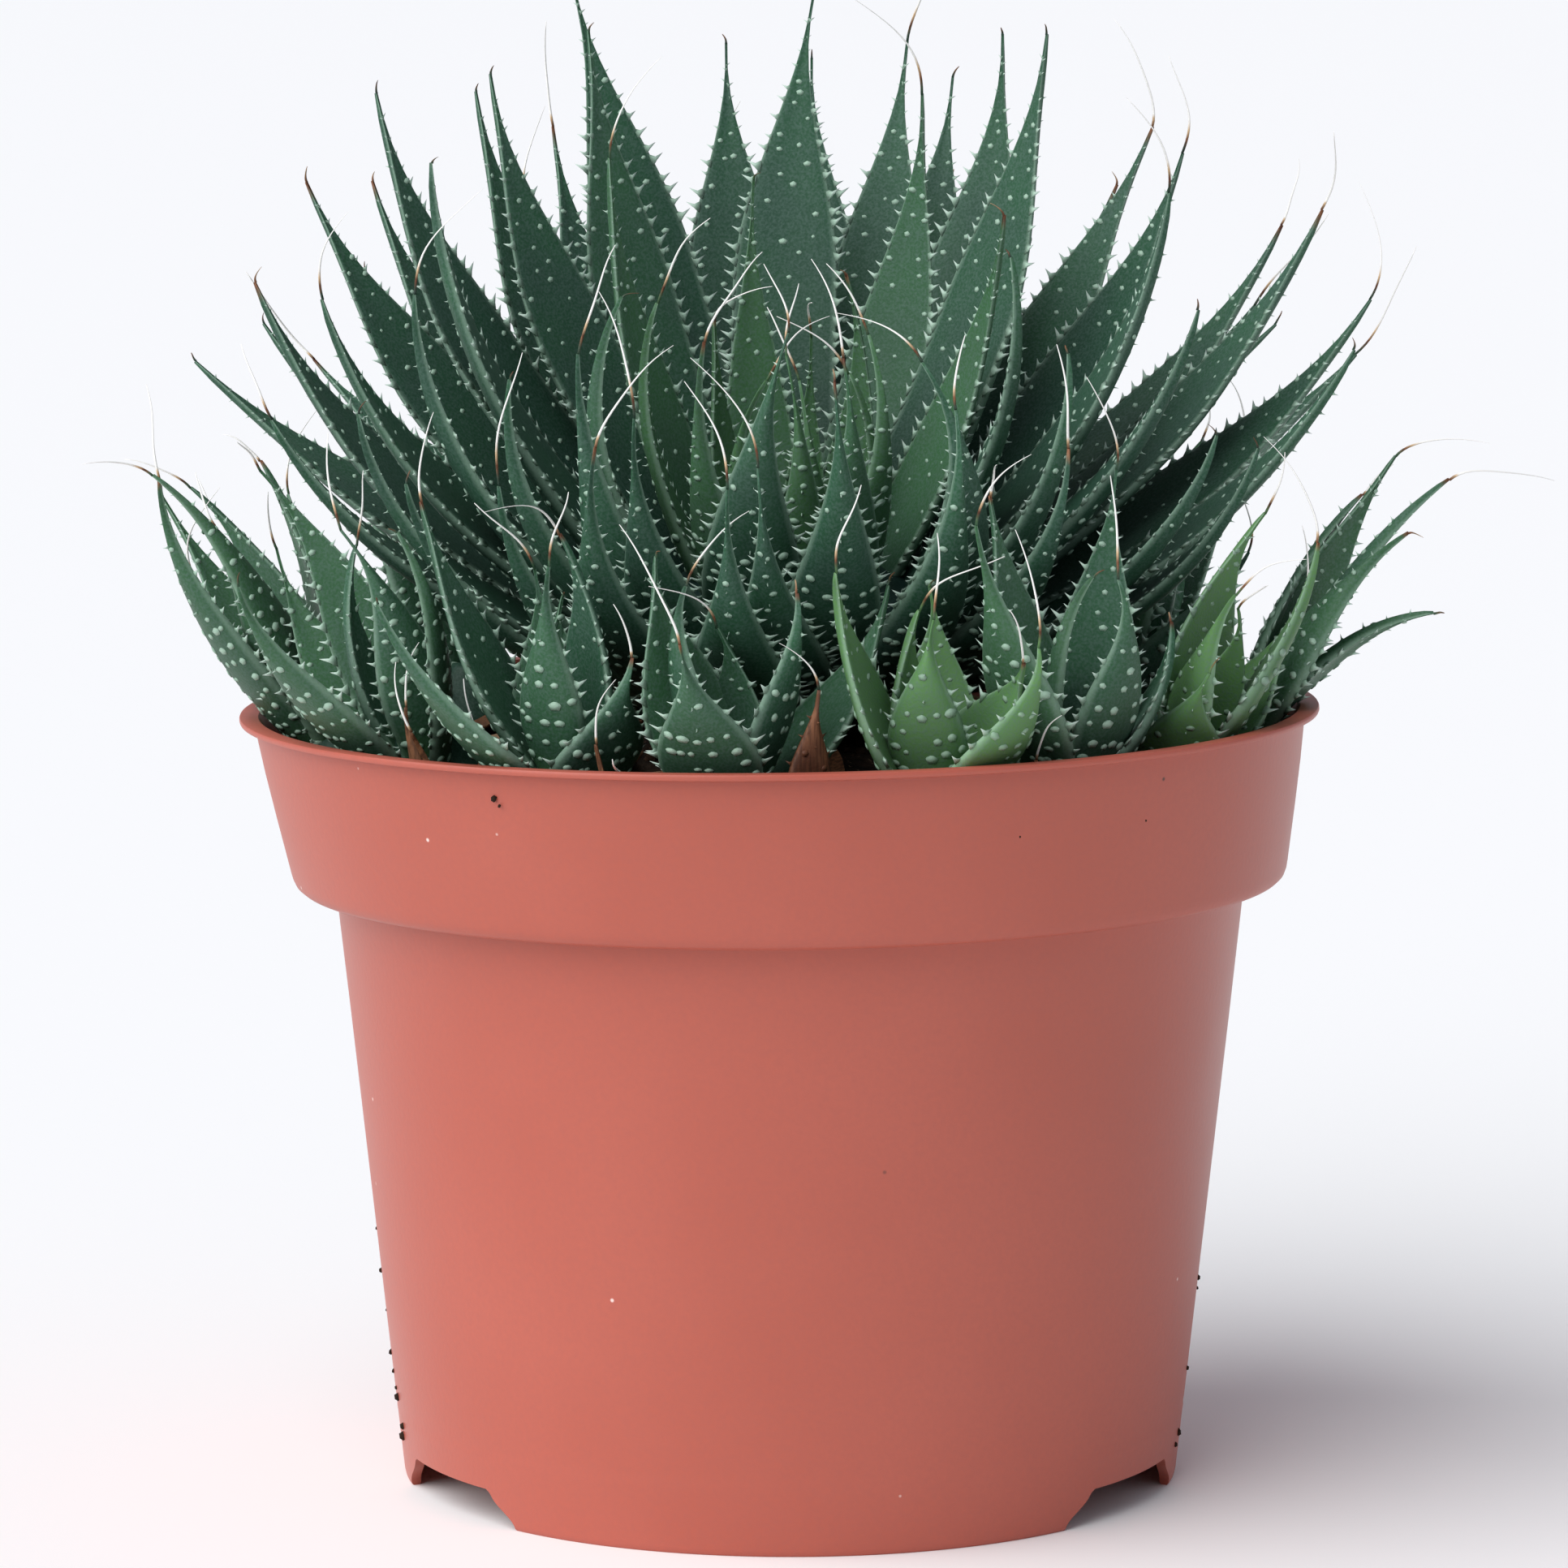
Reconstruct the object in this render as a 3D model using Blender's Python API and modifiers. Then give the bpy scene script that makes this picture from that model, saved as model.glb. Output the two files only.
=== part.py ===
"""A lace aloe in a round plastic nursery pot, 12 cm across the lip.

The plant is one large rosette and a ring of small offsets that have come up round it. Each rosette is a
short stem with fleshy, toothed leaves set one by one round it at the golden angle, and stands in a plain
hole in the soil. Units are metres, +Z is up, the front of the plant looks along -Y, and the origin is on the
ground under the middle of the whole plant. Azimuths are in degrees from the front, towards +X.
"""

import math
import random

import bmesh
import bpy
from mathutils import Matrix, Vector
from mathutils.bvhtree import BVHTree

MM = 0.001
GOLDEN_ANGLE = 137.508

# The pot's axis stands here, in millimetres: the leaves at the right and at the back reach out furthest.
POT_AXIS = (-4.1, -5.7)

# Pot, in millimetres: a thin moulded shell with a collar, a flat lip and three feet.
POT_HEIGHT = 86.5
LIP_RADIUS = 60.0
LIP_THICKNESS = 1.3
LIP_BEVEL = 0.3
COLLAR_TOP_RADIUS = 58.4
COLLAR_FOOT_RADIUS = 55.1
STEP_HEIGHT = 67.3
STEP_ROUNDING = 1.2
BODY_TOP_RADIUS = 50.7
FOOT_RADIUS = 43.4
WALL = 1.1
FLOOR_HEIGHT = 8.0
FLOOR_THICKNESS = 1.3
CENTRE_HOLE_RADIUS = 1.0
COLLAR_LEAN = 0.065  # the soft collar leans this much towards -X for each millimetre above the step
POT_SEGMENTS = 32

# The skirt below the floor is cut away between its three feet. Half of a gap's edge, as (degrees, height).
FOOT_GAPS = (60.0, 180.0, 300.0)
GAP_EDGE = ((12.0, 4.0), (14.25, 2.4), (16.5, 0.4), (18.5, -2.0))
DRAIN_COUNT = 6
DRAIN_RADIUS = 3.5
DRAIN_CIRCLE = 30.0
DRAIN_SEGMENTS = 8
CUT_PAST = 2.0  # a cutter runs this far past the faces that it cuts through

# Soil: it fills the pot to a few millimetres below the lip.
SEAT_GAP = 0.3
SOIL_EDGE_HEIGHT = 79.0
SOIL_MIDDLE_HEIGHT = 83.0
SOIL_MOUND = (10.0, 50.0)  # distances from the axis between which the surface falls from middle to edge
SOIL_RINGS = (0.0, 18.0, 34.0, 48.0)
SOIL_ROUNDING = 1.0
SOIL_SEGMENTS = 24
SOIL_SIDE_GAP = 0.6  # wider than the seat gap, because the soil has fewer sides than the pot

# Main rosette: it leans a little towards the front, so its back leaves stand up and its front ones spread.
MAIN_LEAN = 16.0
MAIN_HEART_HEIGHT = 90.0

# The short stem and the packed leaf bases round it, as (height, radius) from its foot to its crown. A large
# rosette's heights are over the ground, an offset's over the soil.
MAIN_STEM_RADIUS = 7.0
MAIN_STEM_FOOT = 62.0
MAIN_STEM_SEGMENTS = 8
MAIN_STEM = (
    (MAIN_STEM_FOOT, 5.0),
    (66.0, MAIN_STEM_RADIUS),
    (83.6, MAIN_STEM_RADIUS),
    (85.5, 18.0),
    (92.0, 22.0),
    (99.0, 17.0),
    (104.0, 6.0),
)
OFFSET_STEM_RADIUS = 3.2
OFFSET_STEM_DEPTH = 9.0
OFFSET_STEM_SEGMENTS = 6
OFFSET_STEM = ((-OFFSET_STEM_DEPTH, 2.8), (0.4, OFFSET_STEM_RADIUS), (2.5, 6.5), (9.0, 3.0))
OFFSET_HOLE_GAP = 0.5

# Main rosette's leaves, from the heart (age 0) to the lowest (age 1), in its own frame. A leaf is full grown
# at MAIN_GROWN_AGE. Angles are from the rosette's axis; a pair is the least and the most of a seeded draw.
MAIN_SEED = 7
MAIN_LEAVES = 100
MAIN_FIRST_AZIMUTH = 35.0
MAIN_AZIMUTH_DRAW = 5.0
MAIN_GROWN_AGE = 0.22
MAIN_FACING = (-0.4, 0.8)  # cosines of azimuth between which a leaf turns from a back one to a front one
MAIN_TILT_HEART = 5.0
MAIN_TILT_MORE = 76.0
MAIN_TILT_POWER = 0.66
MAIN_TILT_DRAW = 3.0
MAIN_CURL = (18.0, 44.0)
MAIN_CURL_FRONT = 42.0
MAIN_LENGTH_HEART = 38.0
MAIN_LENGTH_MORE = 44.0
MAIN_SHORTER_FRONT = 21.0
MAIN_SHORTER_SIDE = 7.0
MAIN_LENGTH_DRAW = (0.94, 1.05)
MAIN_WIDTH_HEART = 6.0
MAIN_WIDTH_MORE = 5.8
MAIN_WIDTH_DRAW = (0.92, 1.08)
MAIN_DEPTH_HEART = 1.8
MAIN_DEPTH_MORE = 1.6
MAIN_BEND = (-0.07, 0.07)
MAIN_TWIST = (-14.0, 14.0)
MAIN_AWN_CHANCE = 0.25
MAIN_AWN = (8.0, 14.0)
MAIN_AWN_CURL = (0.2, 0.8)
MAIN_AWN_SWAY = (-0.7, 0.7)
MAIN_ROOT_HEART = 1.0  # distance of a leaf's root from the axis at the heart
MAIN_ROOT_MORE = 4.0

# A leaf lower than this would lie in the offsets or dip into the soil, in degrees from upright in the pot.
LOWEST_TILT_FRONT = 66.0
LOWEST_TILT_SIDE = 64.0
LOWEST_TILT_BACK = 74.0
STEEPEST_ROOT = 86.0

# Offsets' leaves, by the same rules on a smaller scale.
OFFSET_HEART_HEIGHT = 4.0
OFFSET_HEART_DROP = 2.0  # the lowest leaf is rooted this far under the heart
OFFSET_ROOT = 0.8
OFFSET_TURN_BY_SEED = 47.0
OFFSET_AZIMUTH_DRAW = 8.0
OFFSET_TILT_HEART = 5.0
OFFSET_TILT_MORE = 40.0
OFFSET_TILT_POWER = 0.9
OFFSET_TILT_DRAW = 3.0
OFFSET_CURL = (10.0, 32.0)
OFFSET_HEART_SHARE = 0.66  # the heart leaf's size as a share of a grown one's
OFFSET_GROWN_LENGTH_AGE = 0.45
OFFSET_GROWN_WIDTH_AGE = 0.5
OFFSET_LENGTH_DRAW = (0.86, 1.10)
OFFSET_WIDTH_DRAW = (0.9, 1.1)
OFFSET_DEPTH = 2.2
OFFSET_BEND = (-0.08, 0.08)
OFFSET_TWIST = (-16.0, 16.0)
OFFSET_AWN_CHANCE = 0.4
OFFSET_AWN = (5.0, 10.0)
OFFSET_AWN_CURL = (-0.1, 0.8)
OFFSET_AWN_SWAY = (-0.7, 0.7)

# Offsets: name, azimuth, distance from the pot's axis, lean outwards, leaves, leaf length, leaf width, seed.
OFFSETS = (
    ("offset_front", -8.0, 46.5, 4.0, 6, 27.0, 10.5, 11),
    ("offset_front_left", -30.0, 46.0, 4.0, 7, 34.0, 11.0, 12),
    ("offset_left_front", -57.0, 46.0, 18.0, 6, 36.0, 9.5, 13),
    ("offset_left", -84.0, 49.0, 34.0, 8, 36.0, 8.5, 51),
    ("offset_back_left", -128.0, 46.0, 28.0, 6, 36.0, 8.5, 15),
    ("offset_back", 178.0, 46.0, 22.0, 9, 36.0, 9.0, 16),
    ("offset_back_right", 131.0, 46.0, 28.0, 9, 36.0, 8.5, 17),
    ("offset_right", 84.0, 49.0, 60.0, 16, 36.0, 10.0, 36),
    ("offset_right_young", 60.0, 47.0, 30.0, 6, 29.0, 9.5, 19),
    ("offset_right_front", 39.0, 46.5, 12.0, 6, 35.0, 10.5, 21),
    ("offset_front_young", 18.0, 47.0, 6.0, 6, 27.0, 10.0, 20),
)

# Ways to bend an offset's leaf until it is clear of its neighbours: turns outwards in degrees, tried with the
# whole length before they are tried with a shorter one.
BEND_TURNS = (0, -7, 7, -14, 14, -21, 21, 28, 35)
BEND_SHARES = (1.0, 0.8, 0.62)
BENDS = tuple((turn, share) for share in BEND_SHARES for turn in BEND_TURNS)

# A dead leaf stands between the front offsets, dry and thin: azimuth, distance and its foot over the soil.
DRY_LEAF_PLACE = (2.0, 52.0, 0.4)
DRY_LEAF_SIZE = {
    "root": Vector((0.0, 0.0, 0.0)),
    "azimuth": 20.0,
    "tilt_root": -4.0,
    "tilt_tip": 9.0,
    "length": 15.0,
    "width": 6.0,
    "depth": 0.9,
    "bend": 0.06,
    "twist": 20.0,
    "teeth": 3,
    "awn": 0.0,
}

# Leaf: number of teeth down each margin, and where the middle lines of its two faces have their points.
LARGE_TEETH = 5
SMALL_TEETH = 4
LARGE_LEAF = 50.0  # millimetres; a leaf under this length is a small one
LARGE_SPINE = (0.0, 0.36, 0.62, 0.86)
SMALL_SPINE = (0.0, 0.32, 0.58, 0.84)
FIRST_TOOTH = 0.27
LAST_TOOTH = 0.95
ROOT_WIDTH = 0.60  # the blade's width at its root as a share of its full width
FULL_WIDTH_AT = 0.34
TAPER_SHARE = 0.66  # the blade narrows over this share of its length, up to the tip
TAPER_LENGTH = 33.0  # and over no more than this length
TAPER_POWER = 1.35
TIP_DEPTH = 0.30
DEPTH_POWER = 0.7
HOLLOW = 0.16  # the upper face is hollow by this share of the leaf's depth
TOOTH_LENGTH = 1.3
TOOTH_LEAN = 0.6  # a tooth's point stands this far along its own length of margin
TOOTH_RISE = 0.2
SHORT_TOOTH = (0.45, 0.25)  # near the tip a tooth is this long, plus this share of the blade's half width
AWN_RADIUS = 0.32
STRAIGHT = 0.001  # the least turn, in radians, that an arc is worked out with

ALOE_GREEN = (0.075, 0.165, 0.105, 1.0)
YOUNG_GREEN = (0.13, 0.26, 0.10, 1.0)
DRY_BROWN = (0.32, 0.16, 0.08, 1.0)
TERRACOTTA = (0.56, 0.17, 0.10, 1.0)
PEAT_BROWN = (0.035, 0.022, 0.015, 1.0)
YOUNG_OFFSETS = ("offset_front_young", "offset_right_young")
POT_SMOOTH_ANGLE = 35.0
LEAF_SMOOTH_ANGLE = 40.0


def clear_scene():
    for obj in list(bpy.data.objects):
        bpy.data.objects.remove(obj, do_unlink=True)


def new_collection(name):
    collection = bpy.data.collections.new(name)
    bpy.context.scene.collection.children.link(collection)
    return collection


def material(name, colour, roughness):
    made = bpy.data.materials.new(name)
    made.use_nodes = True
    shader = made.node_tree.nodes["Principled BSDF"]
    shader.inputs["Base Color"].default_value = colour
    shader.inputs["Roughness"].default_value = roughness
    shader.inputs["Metallic"].default_value = 0.0
    return made


def add_object(name, mesh, collection, finish=None):
    obj = bpy.data.objects.new(name, mesh)
    collection.objects.link(obj)
    if finish:
        mesh.materials.clear()
        mesh.materials.append(finish)
    return obj


def evaluated_mesh(obj):
    bpy.context.view_layer.update()
    return bpy.data.meshes.new_from_object(obj.evaluated_get(bpy.context.evaluated_depsgraph_get()))


def finished(obj, name, finish, collection):
    """Applies what is on obj and leaves one plain mesh object in its place."""
    mesh = evaluated_mesh(obj)
    bpy.data.objects.remove(obj, do_unlink=True)
    mesh.name = name
    return add_object(name, mesh, collection, finish)


def outward(azimuth):
    angle = math.radians(azimuth)
    return Vector((math.sin(angle), -math.cos(angle), 0.0))


def smoothstep(low, high, value):
    share = min(1.0, max(0.0, (value - low) / (high - low)))
    return share * share * (3.0 - 2.0 * share)


def lean_collar(mesh):
    """Moves what is above the step towards -X, in proportion to its height over the step."""
    for vertex in mesh.vertices:
        vertex.co.x -= COLLAR_LEAN * max(0.0, vertex.co.z - STEP_HEIGHT * MM)


def turned(name, profile, segments, collection):
    """A closed solid turned round +Z from an outline of (radius, height) points, outside first and downwards,
    with the collar's lean put on it."""
    mesh = bpy.data.meshes.new(name)
    points = [(radius * MM, 0.0, height * MM) for radius, height in profile]
    edges = [(i, i + 1) for i in range(len(points) - 1)]
    if profile[0][0] > 0.0:
        edges.append((len(points) - 1, 0))
    mesh.from_pydata(points, edges, [])
    outline = add_object(name, mesh, collection)
    screw = outline.modifiers.new("Turn", "SCREW")
    screw.steps = screw.render_steps = segments
    screw.use_merge_vertices = True
    screw.merge_threshold = 0.00001
    solid = finished(outline, name, None, collection)
    lean_collar(solid.data)
    return solid


def body_radius(height):
    return FOOT_RADIUS + (BODY_TOP_RADIUS - FOOT_RADIUS) * height / STEP_HEIGHT


def collar_radius(height):
    share = (height - STEP_HEIGHT) / (POT_HEIGHT - LIP_THICKNESS - STEP_HEIGHT)
    return COLLAR_FOOT_RADIUS + (COLLAR_TOP_RADIUS - COLLAR_FOOT_RADIUS) * share


def pot_profile():
    under_lip = POT_HEIGHT - LIP_THICKNESS
    floor_top = FLOOR_HEIGHT + FLOOR_THICKNESS
    shelf_top = STEP_HEIGHT + WALL
    return [
        (LIP_RADIUS - LIP_BEVEL, POT_HEIGHT),
        (LIP_RADIUS, POT_HEIGHT - LIP_BEVEL),
        (LIP_RADIUS - LIP_BEVEL, under_lip),
        (COLLAR_TOP_RADIUS, under_lip - LIP_BEVEL),
        (collar_radius(STEP_HEIGHT + STEP_ROUNDING), STEP_HEIGHT + STEP_ROUNDING),
        (COLLAR_FOOT_RADIUS - STEP_ROUNDING, STEP_HEIGHT),
        (BODY_TOP_RADIUS, STEP_HEIGHT),
        (body_radius(FLOOR_HEIGHT), FLOOR_HEIGHT),
        (FOOT_RADIUS, 0.0),
        (FOOT_RADIUS - WALL, 0.0),
        (body_radius(FLOOR_HEIGHT) - WALL, FLOOR_HEIGHT),
        (CENTRE_HOLE_RADIUS, FLOOR_HEIGHT),
        (CENTRE_HOLE_RADIUS, floor_top),
        (body_radius(floor_top) - WALL, floor_top),
        (BODY_TOP_RADIUS - WALL, shelf_top),
        (COLLAR_FOOT_RADIUS - STEP_ROUNDING, shelf_top),
        (collar_radius(shelf_top + STEP_ROUNDING) - WALL, shelf_top + STEP_ROUNDING),
        (COLLAR_TOP_RADIUS - WALL, POT_HEIGHT),
    ]


def gap_cutter(azimuth, collection):
    """A prism that cuts one gap between two feet: flat on top, with flanks that spread towards the ground."""
    outline = [(-angle, height) for angle, height in reversed(GAP_EDGE)] + list(GAP_EDGE)
    work = bmesh.new()
    side = [
        work.verts.new((FOOT_RADIUS * math.sin(math.radians(angle)) * MM, 0.0, height * MM))
        for angle, height in outline
    ]
    face = work.faces.new(side)
    pushed = bmesh.ops.extrude_face_region(work, geom=[face])
    moved = [item for item in pushed["geom"] if isinstance(item, bmesh.types.BMVert)]
    bmesh.ops.translate(work, verts=moved, vec=(0.0, -FOOT_RADIUS * MM, 0.0))
    bmesh.ops.translate(work, verts=work.verts, vec=(0.0, -FOOT_RADIUS / 2.0 * MM, 0.0))
    bmesh.ops.rotate(work, verts=work.verts, matrix=Matrix.Rotation(math.radians(azimuth), 3, "Z"))
    bmesh.ops.recalc_face_normals(work, faces=work.faces)
    mesh = bpy.data.meshes.new("foot_gap")
    work.to_mesh(mesh)
    work.free()
    return add_object("foot_gap", mesh, collection)


def round_cutter(name, centre, radius, bottom, top, segments, collection):
    work = bmesh.new()
    bmesh.ops.create_cone(
        work,
        cap_ends=True,
        segments=segments,
        radius1=radius * MM,
        radius2=radius * MM,
        depth=(top - bottom) * MM,
        matrix=Matrix.Translation((centre[0], centre[1], (top + bottom) / 2.0 * MM)),
    )
    mesh = bpy.data.meshes.new(name)
    work.to_mesh(mesh)
    work.free()
    return add_object(name, mesh, collection)


def cut(obj, cutters):
    modifier = obj.modifiers.new("Cut", "BOOLEAN")
    modifier.operation = "DIFFERENCE"
    modifier.operand_type = "COLLECTION"
    modifier.collection = cutters
    modifier.solver = "EXACT"


def drop(collection):
    for obj in list(collection.objects):
        bpy.data.objects.remove(obj, do_unlink=True)
    bpy.data.collections.remove(collection)


def smooth_round(mesh, angle):
    mesh.shade_smooth()
    mesh.set_sharp_from_angle(angle=math.radians(angle))


def make_pot(parts):
    cutters = new_collection("pot_cutters")
    pot = turned("pot_blank", pot_profile(), POT_SEGMENTS, parts)
    for azimuth in FOOT_GAPS:
        gap_cutter(azimuth, cutters)
    low = FLOOR_HEIGHT - CUT_PAST
    high = FLOOR_HEIGHT + FLOOR_THICKNESS + CUT_PAST
    for i in range(DRAIN_COUNT):
        centre = outward((i + 0.5) * 360.0 / DRAIN_COUNT) * DRAIN_CIRCLE * MM
        round_cutter("drain", centre, DRAIN_RADIUS, low, high, DRAIN_SEGMENTS, cutters)
    cut(pot, cutters)
    pot = finished(pot, "pot", material("terracotta_plastic", TERRACOTTA, 0.42), parts)
    drop(cutters)
    smooth_round(pot.data, POT_SMOOTH_ANGLE)
    return pot


def soil_height(radius):
    """Height of the soil at a distance from the axis, in millimetres: a low mound towards the main stem."""
    return SOIL_MIDDLE_HEIGHT + (SOIL_EDGE_HEIGHT - SOIL_MIDDLE_HEIGHT) * smoothstep(*SOIL_MOUND, radius)


def soil_profile():
    floor_top = FLOOR_HEIGHT + FLOOR_THICKNESS + SEAT_GAP
    shelf_top = STEP_HEIGHT + WALL + SEAT_GAP
    inside = WALL + SOIL_SIDE_GAP
    edge = collar_radius(SOIL_EDGE_HEIGHT) - inside
    top = [(radius, soil_height(radius)) for radius in SOIL_RINGS]
    return top + [
        (edge, SOIL_EDGE_HEIGHT - SOIL_ROUNDING),
        (collar_radius(shelf_top + SOIL_ROUNDING) - inside, shelf_top + SOIL_ROUNDING),
        (BODY_TOP_RADIUS - inside, shelf_top),
        (body_radius(floor_top) - inside, floor_top),
        (0.0, floor_top),
    ]


def offset_place(azimuth, distance):
    """Where an offset's stem leaves the soil."""
    place = outward(azimuth) * distance * MM
    place.z = soil_height(distance) * MM
    return place


def make_soil(parts):
    soil = turned("soil_blank", soil_profile(), SOIL_SEGMENTS, parts)
    cutters = new_collection("soil_cutters")
    hole = MAIN_STEM_RADIUS + SEAT_GAP
    bottom = MAIN_STEM_FOOT - SEAT_GAP
    round_cutter("main_hole", (0.0, 0.0), hole, bottom, POT_HEIGHT, MAIN_STEM_SEGMENTS, cutters)
    hole = OFFSET_STEM_RADIUS + OFFSET_HOLE_GAP
    for _name, azimuth, distance, *_rest in OFFSETS:
        place = offset_place(azimuth, distance)
        bottom = place.z / MM - OFFSET_STEM_DEPTH - SEAT_GAP
        round_cutter("offset_hole", place, hole, bottom, POT_HEIGHT, OFFSET_STEM_SEGMENTS, cutters)
    cut(soil, cutters)
    soil = finished(soil, "soil", material("peat", PEAT_BROWN, 0.95), parts)
    drop(cutters)
    smooth_round(soil.data, POT_SMOOTH_ANGLE)
    return soil


def leaf_point(leaf, share):
    """Point and frame of a leaf's middle line at a share of its length: (point, along, side, inner normal).

    The middle line is an arc whose angle from upright runs from tilt_root to tilt_tip."""
    start = math.radians(leaf["tilt_root"])
    turn = math.radians(leaf["tilt_tip"]) - start
    if abs(turn) < STRAIGHT:
        turn = STRAIGHT
    now = start + turn * share
    away = outward(leaf["azimuth"])
    side = Vector((0.0, 0.0, 1.0)).cross(away)
    run = leaf["length"] * (math.cos(start) - math.cos(now)) / turn
    rise = leaf["length"] * (math.sin(now) - math.sin(start)) / turn
    drift = leaf["bend"] * leaf["length"] * share * share
    point = leaf["root"] + (away * run + Vector((0.0, 0.0, rise)) + side * drift) * MM
    along = away * math.sin(now) + Vector((0.0, 0.0, math.cos(now)))
    inner = Vector((0.0, 0.0, math.sin(now))) - away * math.cos(now)
    twist = Matrix.Rotation(math.radians(leaf["twist"]) * share, 3, along)
    return point, along, twist @ side, twist @ inner


def leaf_width(leaf, share):
    """Full width of the blade: full at the lower part, then narrowing like a quarter wave to the tip."""
    tapered = min(TAPER_SHARE, TAPER_LENGTH / leaf["length"])
    taper = math.sin(math.pi / 2.0 * min(1.0, (1.0 - share) / tapered)) ** TAPER_POWER
    return leaf["width"] * taper * (ROOT_WIDTH + (1.0 - ROOT_WIDTH) * smoothstep(0.0, FULL_WIDTH_AT, share))


def leaf_depth(leaf, share):
    """How far the rounded back stands below the margins."""
    return TIP_DEPTH + leaf["depth"] * (1.0 - share) ** DEPTH_POWER


def leaf_frame(leaf, frame):
    """Gives the leaf's middle line and frame at a share of its length, moved by its rosette's matrix."""
    turn = frame.to_3x3()

    def at(share):
        point, along, side, inner = leaf_point(leaf, share)
        return frame @ point, turn @ along, turn @ side, turn @ inner

    return at


def join_lines(work, first, second):
    """Skins the strip between two lines of (share, vertex) that start apart and end at one point."""
    i, j = 0, 0
    while i < len(first) - 1 or j < len(second) - 1:
        step_first = j == len(second) - 1 or (i < len(first) - 1 and first[i + 1][0] <= second[j + 1][0])
        here, there = first[i][1], second[j][1]
        ahead = first[i + 1][1] if step_first else second[j + 1][1]
        if len({here, there, ahead}) == 3:
            work.faces.new((here, there, ahead))
        i, j = (i + 1, j) if step_first else (i, j + 1)


def leaf_mesh(leaf, frame):
    """One closed leaf between four lines that meet at the tip: two toothed margins, the hollow upper middle
    and the keel. A leaf with a bristle is drawn out into a thin four-sided thread first."""
    at = leaf_frame(leaf, frame)
    work = bmesh.new()

    def place(share, across, above):
        point, _along, side, inner = at(share)
        return work.verts.new(point + (side * across + inner * above) * MM)

    def margin(sign):
        line = [(0.0, place(0.0, sign * leaf_width(leaf, 0.0) / 2.0, 0.0))]
        step = (LAST_TOOTH - FIRST_TOOTH) / leaf["teeth"]
        for i in range(leaf["teeth"] + 1):
            share = FIRST_TOOTH + i * step
            half = leaf_width(leaf, share) / 2.0
            line.append((share, place(share, sign * half, 0.0)))
            if i < leaf["teeth"]:
                share += step * TOOTH_LEAN
                half = leaf_width(leaf, share) / 2.0
                tooth = min(TOOTH_LENGTH, SHORT_TOOTH[0] + half * SHORT_TOOTH[1])
                line.append((share, place(share, sign * (half + tooth), TOOTH_RISE * tooth)))
        return line

    left, right = margin(-1.0), margin(1.0)
    spine = LARGE_SPINE if leaf["teeth"] == LARGE_TEETH else SMALL_SPINE
    middle = [(share, place(share, 0.0, -HOLLOW * leaf_depth(leaf, share))) for share in spine]
    keel = [(share, place(share, 0.0, -leaf_depth(leaf, share))) for share in spine]
    work.faces.new((left[0][1], middle[0][1], keel[0][1]))
    work.faces.new((middle[0][1], right[0][1], keel[0][1]))
    lines = (left, middle, right, keel)
    if leaf["awn"] > 0.0:
        grow_awn(work, leaf, at, lines)
    else:
        apex = work.verts.new(at(1.0)[0])
        for line in lines:
            line.append((1.0, apex))
    for i in range(4):
        join_lines(work, lines[i], lines[(i + 1) % 4])
    bmesh.ops.recalc_face_normals(work, faces=work.faces)
    mesh = bpy.data.meshes.new("leaf")
    work.to_mesh(mesh)
    work.free()
    return mesh


def awn_point(leaf, at, share):
    """Point of the dry bristle at a share of its length: it leaves along the leaf's tip and curls over."""
    point, along, side, inner = at(1.0)
    reach = leaf["awn"] * share
    curl = leaf["awn_curl"] * leaf["awn"] * share * share
    sway = leaf["awn_sway"] * leaf["awn"] * share * share
    return point + (along * reach + inner * curl + side * sway) * MM


def grow_awn(work, leaf, at, lines):
    """Carries the leaf's four lines on into its bristle, in two lengths."""
    _point, _along, side, inner = at(1.0)
    ways = (-side, inner, side, -inner)
    for share in (0.0, 0.5):
        centre = awn_point(leaf, at, share)
        for line, way in zip(lines, ways):
            line.append((1.0 + share, work.verts.new(centre + way * AWN_RADIUS * MM)))
    apex = work.verts.new(awn_point(leaf, at, 1.0))
    for line in lines:
        line.append((2.0, apex))


def tilt_from_upright(leaf, frame):
    """Angle from upright at which a leaf ends up leaning in the pot, and its azimuth there."""
    tilt = math.radians((leaf["tilt_root"] + leaf["tilt_tip"]) / 2.0)
    way = frame.to_3x3() @ (outward(leaf["azimuth"]) * math.sin(tilt) + Vector((0.0, 0.0, math.cos(tilt))))
    return math.degrees(math.acos(way.z)), math.degrees(math.atan2(way.x, -way.y))


def has_room(leaf, frame):
    """The lowest leaves would lie in the offsets, so they aren't grown."""
    tilt, azimuth = tilt_from_upright(leaf, frame)
    ahead = math.cos(math.radians(azimuth))
    to_middle = LOWEST_TILT_FRONT if ahead > 0.0 else LOWEST_TILT_BACK
    return tilt < LOWEST_TILT_SIDE + (to_middle - LOWEST_TILT_SIDE) * abs(ahead)


def bent_out(azimuth, place, turn):
    """Matrix that leans what stands at place away from the pot's axis by turn degrees."""
    lean = Matrix.Rotation(math.radians(turn), 4, Vector((0.0, 0.0, 1.0)).cross(outward(azimuth)))
    return Matrix.Translation(place) @ lean


def main_frame():
    """Matrix of the large rosette: its heart, leaning forwards."""
    return bent_out(0.0, Vector((0.0, 0.0, MAIN_HEART_HEIGHT * MM)), MAIN_LEAN)


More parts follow.
